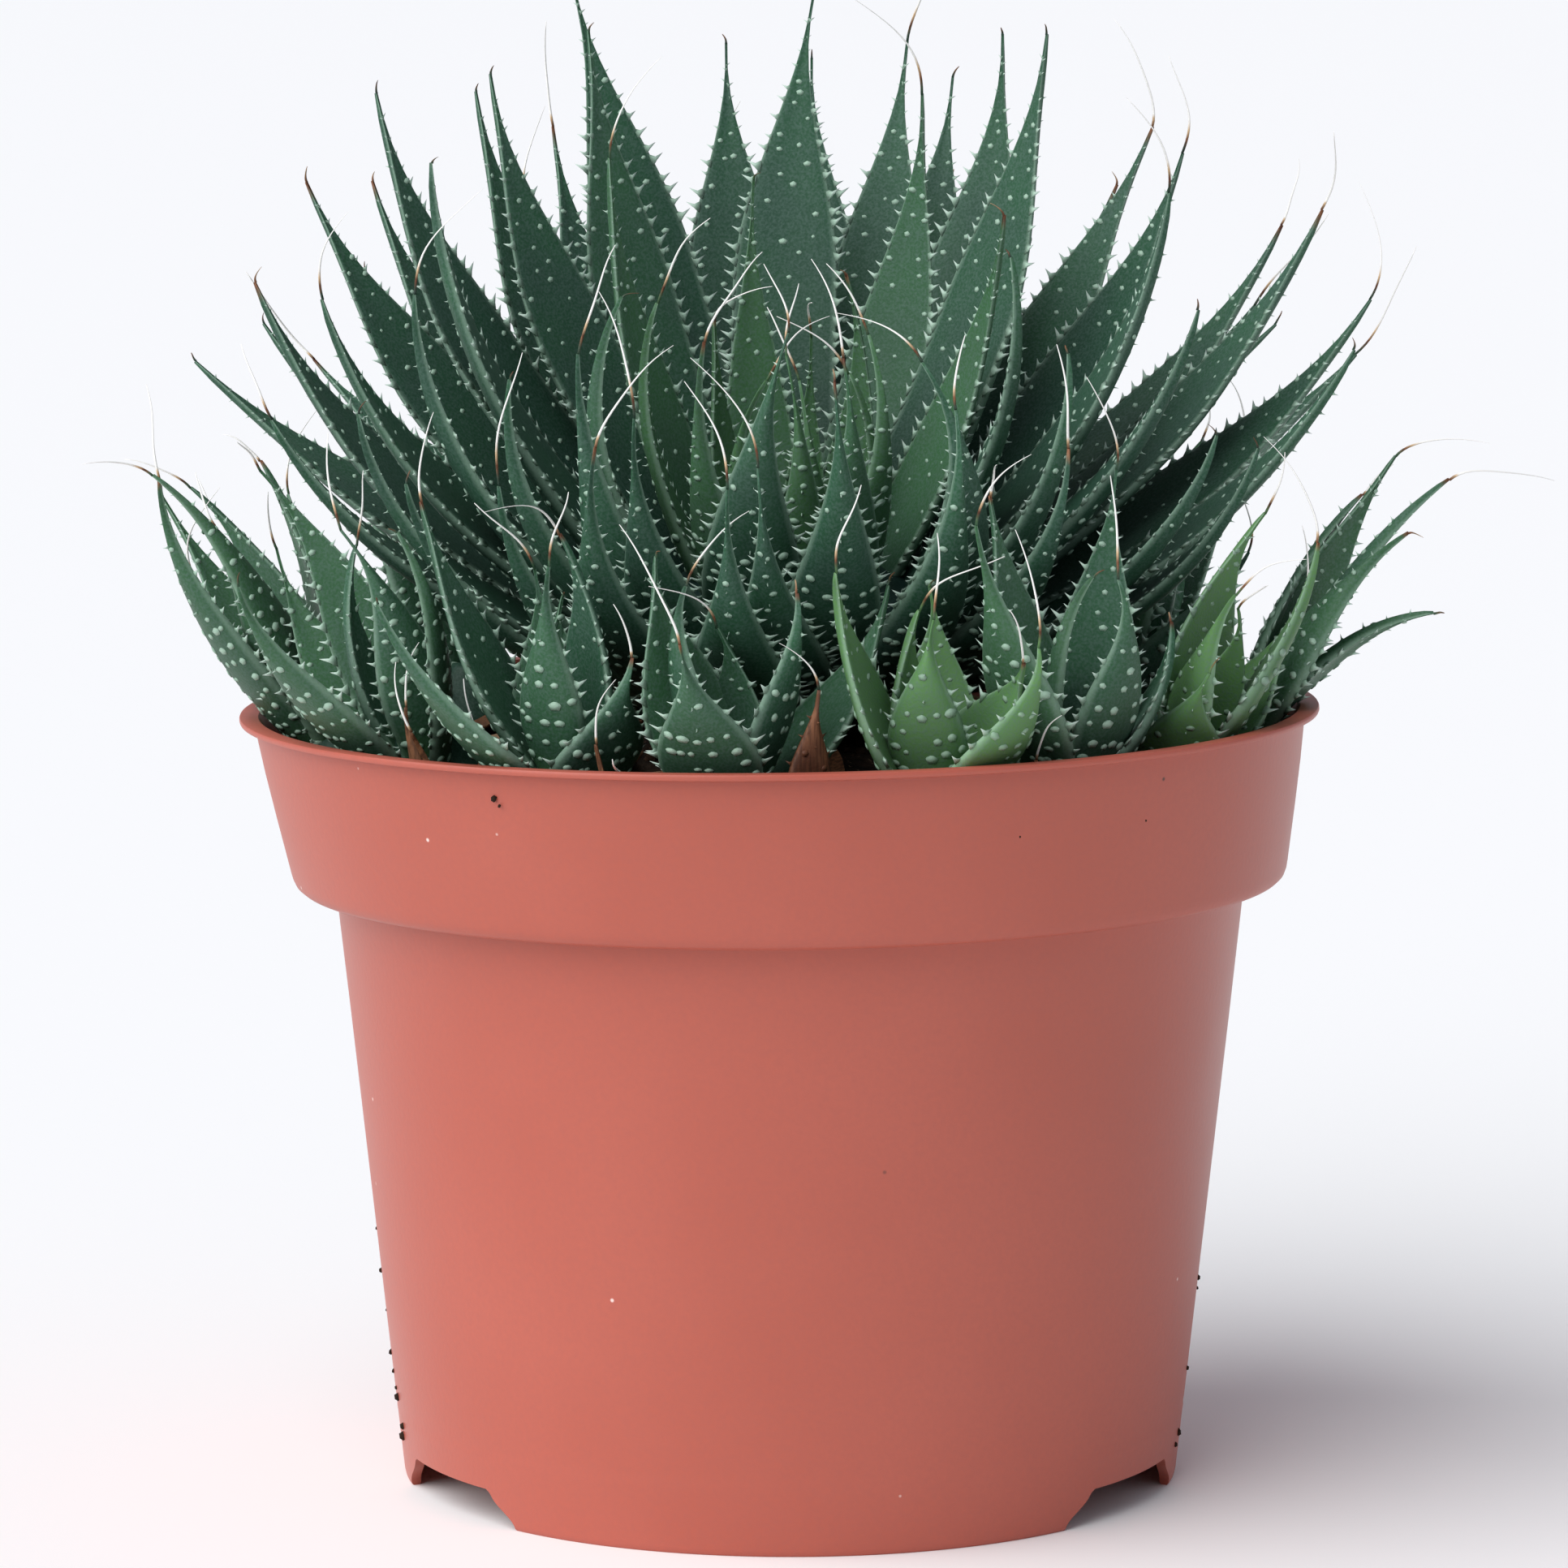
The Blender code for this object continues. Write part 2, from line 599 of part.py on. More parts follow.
def main_leaf_rules():
    """The large rosette's leaves, from its heart outwards, as the plant sets them, in its own frame."""
    draw = random.Random(MAIN_SEED)
    leaves = []
    for i in range(MAIN_LEAVES):
        age = i / (MAIN_LEAVES - 1)
        jitter = draw.uniform(-MAIN_AZIMUTH_DRAW, MAIN_AZIMUTH_DRAW)
        azimuth = (MAIN_FIRST_AZIMUTH + i * GOLDEN_ANGLE + jitter) % 360.0
        grown = smoothstep(0.0, MAIN_GROWN_AGE, age)
        facing = smoothstep(*MAIN_FACING, math.cos(math.radians(azimuth)))
        sideways = math.sin(math.radians(azimuth)) ** 2
        tilt = MAIN_TILT_HEART + MAIN_TILT_MORE * age**MAIN_TILT_POWER
        tilt += draw.uniform(-MAIN_TILT_DRAW, MAIN_TILT_DRAW)
        curl = draw.uniform(*MAIN_CURL) + MAIN_CURL_FRONT * facing * grown
        longer = MAIN_LENGTH_MORE - MAIN_SHORTER_FRONT * facing - MAIN_SHORTER_SIDE * sideways
        leaf = {
            "root": outward(azimuth) * (MAIN_ROOT_HEART + MAIN_ROOT_MORE * age) * MM,
            "azimuth": azimuth,
            "tilt_root": min(STEEPEST_ROOT, tilt + curl / 2.0),
            "tilt_tip": tilt - curl / 2.0,
            "length": (MAIN_LENGTH_HEART + longer * grown) * draw.uniform(*MAIN_LENGTH_DRAW),
            "width": (MAIN_WIDTH_HEART + MAIN_WIDTH_MORE * grown) * draw.uniform(*MAIN_WIDTH_DRAW),
            "depth": MAIN_DEPTH_HEART + MAIN_DEPTH_MORE * grown,
            "bend": draw.uniform(*MAIN_BEND),
            "twist": draw.uniform(*MAIN_TWIST),
            "awn": draw.uniform(*MAIN_AWN) if draw.random() < MAIN_AWN_CHANCE else 0.0,
            "awn_curl": draw.uniform(*MAIN_AWN_CURL),
            "awn_sway": draw.uniform(*MAIN_AWN_SWAY),
        }
        leaf["teeth"] = LARGE_TEETH if leaf["length"] > LARGE_LEAF else SMALL_TEETH
        if has_room(leaf, main_frame()):
            leaves.append(leaf)
    return leaves


def offset_leaf_rules(count, length, width, seed):
    """A small rosette's leaves in its own upright frame, whose origin is where its stem leaves the soil."""
    draw = random.Random(seed)
    leaves = []
    for i in range(count):
        age = i / (count - 1)
        tilt = OFFSET_TILT_HEART + OFFSET_TILT_MORE * age**OFFSET_TILT_POWER
        tilt += draw.uniform(-OFFSET_TILT_DRAW, OFFSET_TILT_DRAW)
        curl = draw.uniform(*OFFSET_CURL)
        jitter = draw.uniform(-OFFSET_AZIMUTH_DRAW, OFFSET_AZIMUTH_DRAW)
        longer = (1.0 - OFFSET_HEART_SHARE) * smoothstep(0.0, OFFSET_GROWN_LENGTH_AGE, age)
        wider = (1.0 - OFFSET_HEART_SHARE) * smoothstep(0.0, OFFSET_GROWN_WIDTH_AGE, age)
        leaf = {
            "azimuth": (seed * OFFSET_TURN_BY_SEED + i * GOLDEN_ANGLE + jitter) % 360.0,
            "tilt_root": tilt + curl / 2.0,
            "tilt_tip": tilt - curl / 2.0,
            "length": length * (OFFSET_HEART_SHARE + longer) * draw.uniform(*OFFSET_LENGTH_DRAW),
            "width": width * (OFFSET_HEART_SHARE + wider) * draw.uniform(*OFFSET_WIDTH_DRAW),
            "depth": OFFSET_DEPTH,
            "bend": draw.uniform(*OFFSET_BEND),
            "twist": draw.uniform(*OFFSET_TWIST),
            "teeth": SMALL_TEETH,
            "awn": draw.uniform(*OFFSET_AWN) if draw.random() < OFFSET_AWN_CHANCE else 0.0,
            "awn_curl": draw.uniform(*OFFSET_AWN_CURL),
            "awn_sway": draw.uniform(*OFFSET_AWN_SWAY),
        }
        leaf["root"] = outward(leaf["azimuth"]) * OFFSET_ROOT * MM
        leaf["root"].z = (OFFSET_HEART_HEIGHT - OFFSET_HEART_DROP * age) * MM
        leaves.append(leaf)
    return leaves


def stem_mesh(outline, segments):
    """The solid that a rosette's leaves grow from, round +Z, from (height, radius) in millimetres."""
    work = bmesh.new()
    rings = []
    for height, size in outline:
        rings.append(
            [
                work.verts.new(outward(i * 360.0 / segments) * size * MM + Vector((0.0, 0.0, height * MM)))
                for i in range(segments)
            ]
        )
    for low, high in zip(rings, rings[1:]):
        for i in range(segments):
            j = (i + 1) % segments
            work.faces.new((low[i], low[j], high[j], high[i]))
    work.faces.new(rings[0])
    work.faces.new(rings[-1])
    bmesh.ops.recalc_face_normals(work, faces=work.faces)
    mesh = bpy.data.meshes.new("stem")
    work.to_mesh(mesh)
    work.free()
    return mesh


def fill_sealed_hollows(mesh):
    """Keeps the outer surface alone: a hollow that joining has sealed between leaves is filled."""
    work = bmesh.new()
    work.from_mesh(mesh)
    bmesh.ops.triangulate(work, faces=work.faces)
    left = set(work.faces)
    islands = []
    while left:
        reached = [left.pop()]
        for face in reached:
            for edge in face.edges:
                for other in edge.link_faces:
                    if other in left:
                        left.remove(other)
                        reached.append(other)
        islands.append(reached)

    def volume(faces):
        return sum(f.verts[0].co.dot(f.verts[1].co.cross(f.verts[2].co)) for f in faces) / 6.0

    islands.sort(key=volume)
    for faces in islands[:-1]:
        bmesh.ops.delete(work, geom=faces, context="FACES")
    work.to_mesh(mesh)
    work.free()


def fused(name, stem, leaf_meshes, finish, parts):
    """Joins a stem and its leaves into one solid. The manifold solver does it in a tenth of the exact one's
    time."""
    repeats = new_collection(name + "_leaves")
    for mesh in leaf_meshes:
        add_object("leaf", mesh, repeats)
    blank = add_object(name + "_blank", stem, parts)
    union = blank.modifiers.new("Grow together", "BOOLEAN")
    union.operation = "UNION"
    union.operand_type = "COLLECTION"
    union.collection = repeats
    union.solver = "MANIFOLD"
    made = finished(blank, name, finish, parts)
    drop(repeats)
    fill_sealed_hollows(made.data)
    smooth_round(made.data, LEAF_SMOOTH_ANGLE)
    return made


def tree_of(mesh):
    work = bmesh.new()
    work.from_mesh(mesh)
    tree = BVHTree.FromBMesh(work)
    work.free()
    return tree


def clear_leaf(leaf, azimuth, place, lean, obstacles):
    """The leaf's mesh in the first bend in which it meets none of its neighbours, or None."""
    for turn, share in BENDS:
        tried = dict(leaf, length=leaf["length"] * share, awn=leaf["awn"] * share)
        mesh = leaf_mesh(tried, bent_out(azimuth, place, lean + turn))
        tree = tree_of(mesh)
        if not any(tree.overlap(other) for other in obstacles):
            return mesh
        bpy.data.meshes.remove(mesh)
    return None


def make_main_rosette(parts, finish):
    leaf_meshes = [leaf_mesh(leaf, main_frame()) for leaf in main_leaf_rules()]
    return fused("main_rosette", stem_mesh(MAIN_STEM, MAIN_STEM_SEGMENTS), leaf_meshes, finish, parts)


def make_offset(entry, obstacles, finish, parts):
    name, azimuth, distance, lean, count, length, width, seed = entry
    place = offset_place(azimuth, distance)
    stem = stem_mesh(OFFSET_STEM, OFFSET_STEM_SEGMENTS)
    stem.transform(Matrix.Translation(place))
    leaf_meshes = []
    for leaf in offset_leaf_rules(count, length, width, seed):
        mesh = clear_leaf(leaf, azimuth, place, lean, obstacles)
        if mesh:
            leaf_meshes.append(mesh)
    return fused(name, stem, leaf_meshes, finish, parts)


def make_dry_leaf(parts):
    azimuth, distance, clearance = DRY_LEAF_PLACE
    place = offset_place(azimuth, distance)
    place.z += clearance * MM
    mesh = leaf_mesh(DRY_LEAF_SIZE, Matrix.Translation(place))
    return add_object("dry_leaf", mesh, parts, material("dry_leaf", DRY_BROWN, 0.8))


def stand_on_axis(parts):
    """Hangs every part, made round +Z, on an empty that stands at the pot's axis."""
    made = list(parts.objects)
    axis = bpy.data.objects.new("pot_axis", None)
    axis.location = (POT_AXIS[0] * MM, POT_AXIS[1] * MM, 0.0)
    parts.objects.link(axis)
    for obj in made:
        obj.parent = axis


def main():
    clear_scene()
    parts = new_collection("potted_lace_aloe")
    pot = make_pot(parts)
    soil = make_soil(parts)
    grown = material("aloe_leaf", ALOE_GREEN, 0.45)
    young = material("young_leaf", YOUNG_GREEN, 0.45)
    main_rosette = make_main_rosette(parts, grown)
    dry_leaf = make_dry_leaf(parts)
    obstacles = [tree_of(made.data) for made in (pot, soil, main_rosette, dry_leaf)]
    for entry in OFFSETS:
        finish = young if entry[0] in YOUNG_OFFSETS else grown
        made = make_offset(entry, obstacles, finish, parts)
        obstacles.append(tree_of(made.data))
    stand_on_axis(parts)


main()
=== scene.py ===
"""A lace aloe in a 12 cm terracotta-coloured nursery pot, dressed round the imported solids."""

import math
import random

import bpy
import numpy as np
from mathutils import Matrix, Vector, noise
from mathutils.kdtree import KDTree


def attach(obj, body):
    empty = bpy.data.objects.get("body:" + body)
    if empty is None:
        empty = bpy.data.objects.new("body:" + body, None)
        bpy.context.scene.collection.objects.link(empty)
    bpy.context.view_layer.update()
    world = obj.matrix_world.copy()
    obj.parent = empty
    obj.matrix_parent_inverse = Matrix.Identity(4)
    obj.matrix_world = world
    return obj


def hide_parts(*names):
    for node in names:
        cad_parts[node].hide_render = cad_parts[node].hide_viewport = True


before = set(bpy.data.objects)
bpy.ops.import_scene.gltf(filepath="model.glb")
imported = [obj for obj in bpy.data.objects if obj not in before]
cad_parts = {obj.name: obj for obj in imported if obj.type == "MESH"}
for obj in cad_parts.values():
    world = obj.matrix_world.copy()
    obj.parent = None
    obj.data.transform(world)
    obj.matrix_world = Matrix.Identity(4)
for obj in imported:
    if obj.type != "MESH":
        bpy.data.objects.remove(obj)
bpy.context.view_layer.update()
bpy.ops.object.select_all(action="DESELECT")

# Pot. One thin moulded shell of polypropylene: a rolled lip, a flared collar, a step and a tapered wall over
# a floor with drain holes. It is turned from one ring, drawn down the outside, over the floor and up the
# inside, and the skirt is then cut into three feet. The soft collar leans and dips a little to the left.
MM = 0.001
POT_AXIS = Vector((-4.1, -5.7, 0.0)) * MM
POT_SIDES = 224
POT_OUTLINE = (  # radius and height of each ring, from the lip down the outside and back up the inside
    (59.70, 86.50), (59.92, 86.42), (60.00, 86.25), (60.00, 85.98), (59.93, 85.82), (59.70, 85.74),
    (58.70, 85.70), (58.40, 85.52), (58.33, 85.20), (57.60, 80.40), (56.70, 75.30), (55.55, 69.10),
    (55.42, 68.50), (55.15, 67.85), (54.70, 67.45), (54.10, 67.30), (51.30, 67.30), (50.86, 67.12),
    (50.66, 66.70), (49.20, 53.20), (47.60, 38.40), (46.00, 23.60), (44.42, 9.00), (44.30, 8.30),
    (44.30, 7.70), (44.22, 7.20), (43.52, 0.70), (43.40, 0.20), (43.20, 0.00), (42.50, 0.00),
    (42.32, 0.25), (43.20, 8.00), (1.00, 8.00), (1.00, 9.30), (42.60, 9.30), (43.40, 10.20),
    (49.50, 66.40), (50.10, 68.00), (51.00, 68.40), (53.30, 68.40), (54.10, 68.80), (54.40, 69.60),
    (57.00, 84.20), (57.30, 85.60), (57.90, 86.40), (58.60, 86.50),
)
FOOT_RADIUS = 43.4
STEP_HEIGHT = 67.3
COLLAR_LEAN = 0.065  # towards the left, for each millimetre above the step
COLLAR_DIP = 0.0115  # the collar's left side is lower than its right by this share of the width between them
DIP_FROM = 50.0  # height at which the dip sets in
SHARP_ANGLE = 32.0
FOOT_GAPS = (60.0, 180.0, 300.0)
GAP_TOP = 4.0
GAP_STEPS = 12
GAP_HALF_ANGLES = (12.0, 16.5)  # at the gap's top and at the ground
GAP_FLANK = (0.3, 3.6)  # heights between which the gap narrows
GAP_ROUNDING = (0.25, 1.0)  # degrees that the last two points of a flank stand in, to round the gap's top
KNIFE_FLARE = (1.2, -1.5)  # degrees by which the knife widens under the ground, and its lowest height
KNIFE_REACH = 0.03  # metres from the axis to the knife's near face, and from there to its far face
DRAINS = 6
DRAIN_RADIUS = 3.5
DRAIN_CIRCLE = 30.0
DRAIN_HEIGHT = 8.6
DRAIN_DEPTH = 4.0


def outward(azimuth):
    """Unit vector away from the axis: azimuth 0 is the front, 90 the right side."""
    return Vector((math.sin(math.radians(azimuth)), -math.cos(math.radians(azimuth)), 0.0))


def smoothstep(low, high, value):
    share = np.clip((np.asarray(value, float) - low) / (high - low), 0.0, 1.0)
    return share * share * (3.0 - 2.0 * share)


def drawn_rings(name, outline, sides, closed):
    """One ring, extruded from outline point to outline point and scaled round the pot's axis each time."""
    radius, height = outline[0]
    place = POT_AXIS + Vector((0.0, 0.0, height * MM))
    bpy.ops.mesh.primitive_circle_add(vertices=sides, radius=radius * MM, location=place)
    made = bpy.context.object
    made.name = made.data.name = name
    bpy.ops.object.transform_apply(location=True)
    bpy.ops.object.mode_set(mode="EDIT")
    bpy.ops.mesh.select_all(action="SELECT")
    for next_radius, next_height in list(outline[1:]) + ([outline[0]] if closed else []):
        move = {"value": (0.0, 0.0, (next_height - height) * MM)}
        bpy.ops.mesh.extrude_region_move(TRANSFORM_OT_translate=move)
        grow = next_radius / radius
        bpy.ops.transform.resize(value=(grow, grow, 1.0), center_override=POT_AXIS)
        radius, height = next_radius, next_height
    if not closed:
        bpy.ops.mesh.merge(type="CENTER")
    bpy.ops.mesh.select_all(action="SELECT")
    bpy.ops.mesh.remove_doubles(threshold=0.000002)
    bpy.ops.mesh.normals_make_consistent(inside=False)
    bpy.ops.object.mode_set(mode="OBJECT")
    return made


pot = drawn_rings("nursery_pot", POT_OUTLINE, POT_SIDES, closed=True)
for vertex in pot.data.vertices:
    x, z = vertex.co.x - POT_AXIS.x, vertex.co.z / MM
    vertex.co.x -= COLLAR_LEAN * max(0.0, z - STEP_HEIGHT) * MM
    vertex.co.z += COLLAR_DIP * x * float(smoothstep(DIP_FROM, STEP_HEIGHT, z))

top_angle, ground_angle = GAP_HALF_ANGLES
flare, knife_bottom = KNIFE_FLARE
gap_heights = [GAP_TOP * step / GAP_STEPS for step in range(GAP_STEPS + 1)]
half_angle = [
    top_angle + (ground_angle - top_angle) * float(1.0 - smoothstep(*GAP_FLANK, height))
    for height in gap_heights
]
half_angle[-2] -= GAP_ROUNDING[0]
half_angle[-1] -= GAP_ROUNDING[1]
edge = [(-angle, height) for angle, height in zip(half_angle, gap_heights)]
edge += [(angle, height) for angle, height in zip(half_angle[::-1], gap_heights[::-1])]
edge += [(ground_angle + flare, knife_bottom), (-ground_angle - flare, knife_bottom)]
knives = []
for azimuth in FOOT_GAPS:
    bpy.ops.mesh.primitive_circle_add(vertices=len(edge), radius=0.01, fill_type="NGON")
    knife = bpy.context.object
    for vertex, (angle, height) in zip(knife.data.vertices, edge):
        vertex.co = (FOOT_RADIUS * math.sin(math.radians(angle)) * MM, -KNIFE_REACH, height * MM)
    bpy.ops.object.mode_set(mode="EDIT")
    bpy.ops.mesh.select_all(action="SELECT")
    bpy.ops.mesh.extrude_region_move(TRANSFORM_OT_translate={"value": (0.0, -KNIFE_REACH, 0.0)})
    bpy.ops.mesh.select_all(action="SELECT")
    bpy.ops.mesh.normals_make_consistent(inside=False)
    bpy.ops.object.mode_set(mode="OBJECT")
    knife.rotation_euler.z = math.radians(azimuth)
    knife.location = POT_AXIS
    knives.append(knife)
for i in range(DRAINS):
    place = POT_AXIS + outward((i + 0.5) * 360.0 / DRAINS) * DRAIN_CIRCLE * MM
    place.z = DRAIN_HEIGHT * MM
    bpy.ops.mesh.primitive_cylinder_add(radius=DRAIN_RADIUS * MM, depth=DRAIN_DEPTH * MM, location=place)
    knives.append(bpy.context.object)
bpy.ops.object.select_all(action="DESELECT")
for knife in knives:
    knife.select_set(True)
bpy.context.view_layer.objects.active = knives[0]
bpy.ops.object.join()
knife = bpy.context.object
bpy.context.view_layer.objects.active = pot
cut = pot.modifiers.new("Cut feet and drains", "BOOLEAN")
cut.operation = "DIFFERENCE"
cut.object = knife
bpy.ops.object.modifier_apply(modifier=cut.name)
bpy.data.objects.remove(knife, do_unlink=True)
bpy.ops.object.select_all(action="DESELECT")
pot.select_set(True)
bpy.ops.object.shade_smooth_by_angle(angle=math.radians(SHARP_ANGLE))


def new_material(name):
    """An empty material with its shader, and short ways to add and join nodes."""
    made = bpy.data.materials.new(name)
    made.use_nodes = True
    tree = made.node_tree
    shader = tree.nodes["Principled BSDF"]

    def fill(socket, source):
        if isinstance(source, bpy.types.NodeSocket):
            tree.links.new(source, socket)
        else:
            socket.default_value = source

    def node(kind, links=(), **settings):
        added = tree.nodes.new(kind)
        for key, value in settings.items():
            setattr(added, key, value)
        for socket, source in dict(links).items():
            fill(added.inputs[socket], source)
        return added

    def mix(share, first, second):
        return node("ShaderNodeMix", {0: share, 6: first, 7: second}, data_type="RGBA").outputs[2]

    def between(source, low, high, to_low=0.0, to_high=1.0):
        return node(
            "ShaderNodeMapRange",
            {"Value": source, "From Min": low, "From Max": high, "To Min": to_low, "To Max": to_high},
        ).outputs[0]

    def give(socket, source):
        fill(shader.inputs[socket], source)

    return made, node, mix, between, give


def flecks(where, scale, size, channel, share, most=1.0):
    """Spots in a share of a pattern's cells. Channel is the one of a cell's random values that decides."""
    cells = node("ShaderNodeTexVoronoi", {"Vector": where, "Scale": scale})
    chance = node("ShaderNodeSeparateColor", {"Color": cells.outputs["Color"]}).outputs[channel]
    spot = between(cells.outputs["Distance"], *size, 1.0, 0.0)
    picked = between(chance, *share, 0.0, most)
    return node("ShaderNodeMath", {0: spot, 1: picked}, operation="MULTIPLY").outputs[0]


plastic, node, mix, between, give = new_material("terracotta plastic")
place = node("ShaderNodeTexCoord").outputs["Object"]
cloud = node("ShaderNodeTexNoise", {"Vector": place, "Scale": 28.0, "Detail": 3.0}).outputs[0]
grain = node("ShaderNodeTexNoise", {"Vector": place, "Scale": 1500.0, "Detail": 3.0}).outputs[0]
colour = mix(between(cloud, 0.35, 0.65), (0.456, 0.100, 0.064, 1.0), (0.486, 0.113, 0.075, 1.0))
colour = mix(between(grain, 0.30, 0.72, 0.0, 0.30), colour, (0.38, 0.098, 0.075, 1.0))
dust = flecks(place, 260.0, (0.03, 0.07), 0, (0.955, 0.965))
colour = mix(dust, colour, (0.86, 0.66, 0.60, 1.0))
soot = flecks(place, 190.0, (0.02, 0.055), 1, (0.975, 0.98))
colour = mix(soot, colour, (0.10, 0.04, 0.03, 1.0))
stretched = node("ShaderNodeMapping", {"Vector": place, "Scale": (1.0, 1.0, 0.05)}).outputs[0]
scratch = flecks(stretched, 170.0, (0.015, 0.04), 2, (0.965, 0.97), 0.6)
colour = mix(scratch, colour, (0.80, 0.52, 0.45, 1.0))
give("Base Color", colour)
give("Roughness", between(cloud, 0.3, 0.7, 0.36, 0.46))
give("Specular IOR Level", 0.45)
bump = node("ShaderNodeBump", {"Height": grain, "Strength": 0.10, "Distance": 0.0002})
give("Normal", bump.outputs[0])
pot.data.materials.append(plastic)
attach(pot, "root")
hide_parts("pot")

# Soil. Dark peat that fills the pot to a few millimetres below the lip: a low mound of crumbs, with fibres
# and a little white grit in it. The body is drawn from a ring like the pot, then roughened in code.
SOIL_MIDDLE = 83.0
SOIL_EDGE = 79.0
SOIL_MOUND = (10.0, 50.0)  # distances from the axis between which the surface falls from middle to edge
SOIL_SIDES = 96
SOIL_WALL = (  # radius and height of each ring up the inside of the pot
    (42.2, 9.7), (42.9, 10.4), (48.8, 66.8), (50.2, 69.0), (53.2, 69.3), (55.9, 77.2),
)
SOIL_TOP_RADII = (55.6, 1.2)
SOIL_TOP_RINGS = 46
ROUGH_FROM = 77.0  # height above which the surface is roughened
ROUGHNESS = ((260.0, 0.7), (700.0, 0.5))  # how fine each noise is, and its height in millimetres


def soil_height(radius):
    """Height of the soil over the ground, in millimetres, at a distance from the pot's axis."""
    return SOIL_MIDDLE + (SOIL_EDGE - SOIL_MIDDLE) * float(smoothstep(*SOIL_MOUND, radius))


soil_rings = list(SOIL_WALL)
soil_rings += [(radius, soil_height(radius)) for radius in np.linspace(*SOIL_TOP_RADII, SOIL_TOP_RINGS)]
soil = drawn_rings("peat_surface", soil_rings[::-1], SOIL_SIDES, closed=False)
for vertex in soil.data.vertices:
    vertex.co.x -= COLLAR_LEAN * max(0.0, vertex.co.z / MM - STEP_HEIGHT) * MM
    if vertex.co.z > ROUGH_FROM * MM:
        vertex.co.z += sum(noise.noise(vertex.co * fine) * height for fine, height in ROUGHNESS) * MM
bpy.ops.object.select_all(action="DESELECT")
soil.select_set(True)
bpy.context.view_layer.objects.active = soil
bpy.ops.object.mode_set(mode="EDIT")
bpy.ops.mesh.select_all(action="DESELECT")
bpy.ops.mesh.select_non_manifold()
bpy.ops.mesh.fill()
bpy.ops.mesh.select_all(action="SELECT")
bpy.ops.mesh.normals_make_consistent(inside=False)
bpy.ops.object.mode_set(mode="OBJECT")
bpy.ops.object.shade_smooth()

peat, node, mix, between, give = new_material("moist peat")
place = node("ShaderNodeTexCoord").outputs["Object"]
clod = node("ShaderNodeTexNoise", {"Vector": place, "Scale": 420.0, "Detail": 5.0}).outputs[0]
fleck = node("ShaderNodeTexNoise", {"Vector": place, "Scale": 1600.0, "Detail": 2.0}).outputs[0]
colour = mix(between(clod, 0.35, 0.68), (0.012, 0.008, 0.006, 1.0), (0.058, 0.036, 0.023, 1.0))
colour = mix(between(fleck, 0.66, 0.70), colour, (0.19, 0.125, 0.075, 1.0))
give("Base Color", colour)
give("Roughness", 0.95)
give("Specular IOR Level", 0.2)
bump = node("ShaderNodeBump", {"Height": clod, "Strength": 0.8, "Distance": 0.0012})
give("Normal", bump.outputs[0])
soil.data.materials.append(peat)
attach(soil, "root")
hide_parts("soil")

# Loose crumbs of peat, and a few on the outside of the pot where it was handled. Each is one lump, modelled
# once and copied in many sizes; some are bright, as bark and grit are.
CRUMBS = 1500
CRUMB_SPREAD = 55.0
CRUMB_SIZE = 0.28
CRUMB_SIZE_MORE = 1.0
CRUMB_LIFT = 0.35  # share of its size by which a crumb's middle stands over the soil
SOIL_OVER_STEP = 12.0
BODY_TOP_RADIUS = 50.7
COLLAR_RADIUS = 58.1
CLING_GAP = 0.1
POT_CRUMBS = (  # azimuth, height in millimetres and size in millimetres
    (-84.0, 14.0, 0.5), (-80.0, 9.5, 0.7), (-86.0, 23.0, 0.45), (-88.0, 27.5, 0.3), (-83.0, 12.0, 0.4),
    (-78.0, 6.5, 0.6), (-89.0, 18.0, 0.3), (-81.0, 10.4, 0.35), (-79.0, 5.2, 0.8), (84.0, 22.5, 0.5),
    (86.0, 21.0, 0.3), (82.0, 12.5, 0.4), (80.0, 5.5, 0.7), (78.0, 4.4, 0.45), (-31.0, 82.6, 0.55),
    (-30.4, 81.9, 0.3), (25.0, 79.0, 0.2), (41.0, 79.5, 0.2),
)


def read_master(obj):
    """Points and triangles of a modelled piece as arrays; the object itself is then removed."""
    mesh = obj.data
    mesh.transform(obj.matrix_world)
    mesh.calc_loop_triangles()
    points = np.array([vertex.co for vertex in mesh.vertices])
    triangles = np.array([triangle.vertices for triangle in mesh.loop_triangles])
    bpy.data.objects.remove(obj, do_unlink=True)
    return points, triangles


def new_heap():
    return {"points": [], "triangles": [], "marks": [], "count": 0}


def add_copies(heap, points, triangles, marks):
    """Adds copies of one master: points is (copies, n, 3), and marks is (copies, n, 4), for the skin."""
    copies, each = points.shape[:2]
    starts = heap["count"] + np.arange(copies) * each
    heap["points"].append(points.reshape(-1, 3))
    heap["triangles"].append((triangles[None] + starts[:, None, None]).reshape(-1, 3))
    heap["marks"].append(marks.reshape(-1, 4))
    heap["count"] += copies * each


def heap_object(name, heap, finish):
    """One smooth mesh object from all that a heap holds, with its marks as the attribute growth."""
    points = np.concatenate(heap["points"])
    triangles = np.concatenate(heap["triangles"])
    mesh = bpy.data.meshes.new(name)
    mesh.vertices.add(len(points))
    mesh.vertices.foreach_set("co", points.ravel())
    mesh.loops.add(triangles.size)
    mesh.loops.foreach_set("vertex_index", triangles.ravel().astype(np.int32))
    mesh.polygons.add(len(triangles))
    mesh.polygons.foreach_set("loop_start", np.arange(0, triangles.size, 3, dtype=np.int32))
    mesh.update(calc_edges=True)
    mesh.validate()
    growth = mesh.attributes.new("growth", "FLOAT_COLOR", "POINT")
    growth.data.foreach_set("color", np.concatenate(heap["marks"]).ravel().astype(np.float32))
    mesh.shade_smooth()
    mesh.materials.append(finish)
    made = bpy.data.objects.new(name, mesh)
    bpy.context.scene.collection.objects.link(made)
    return made


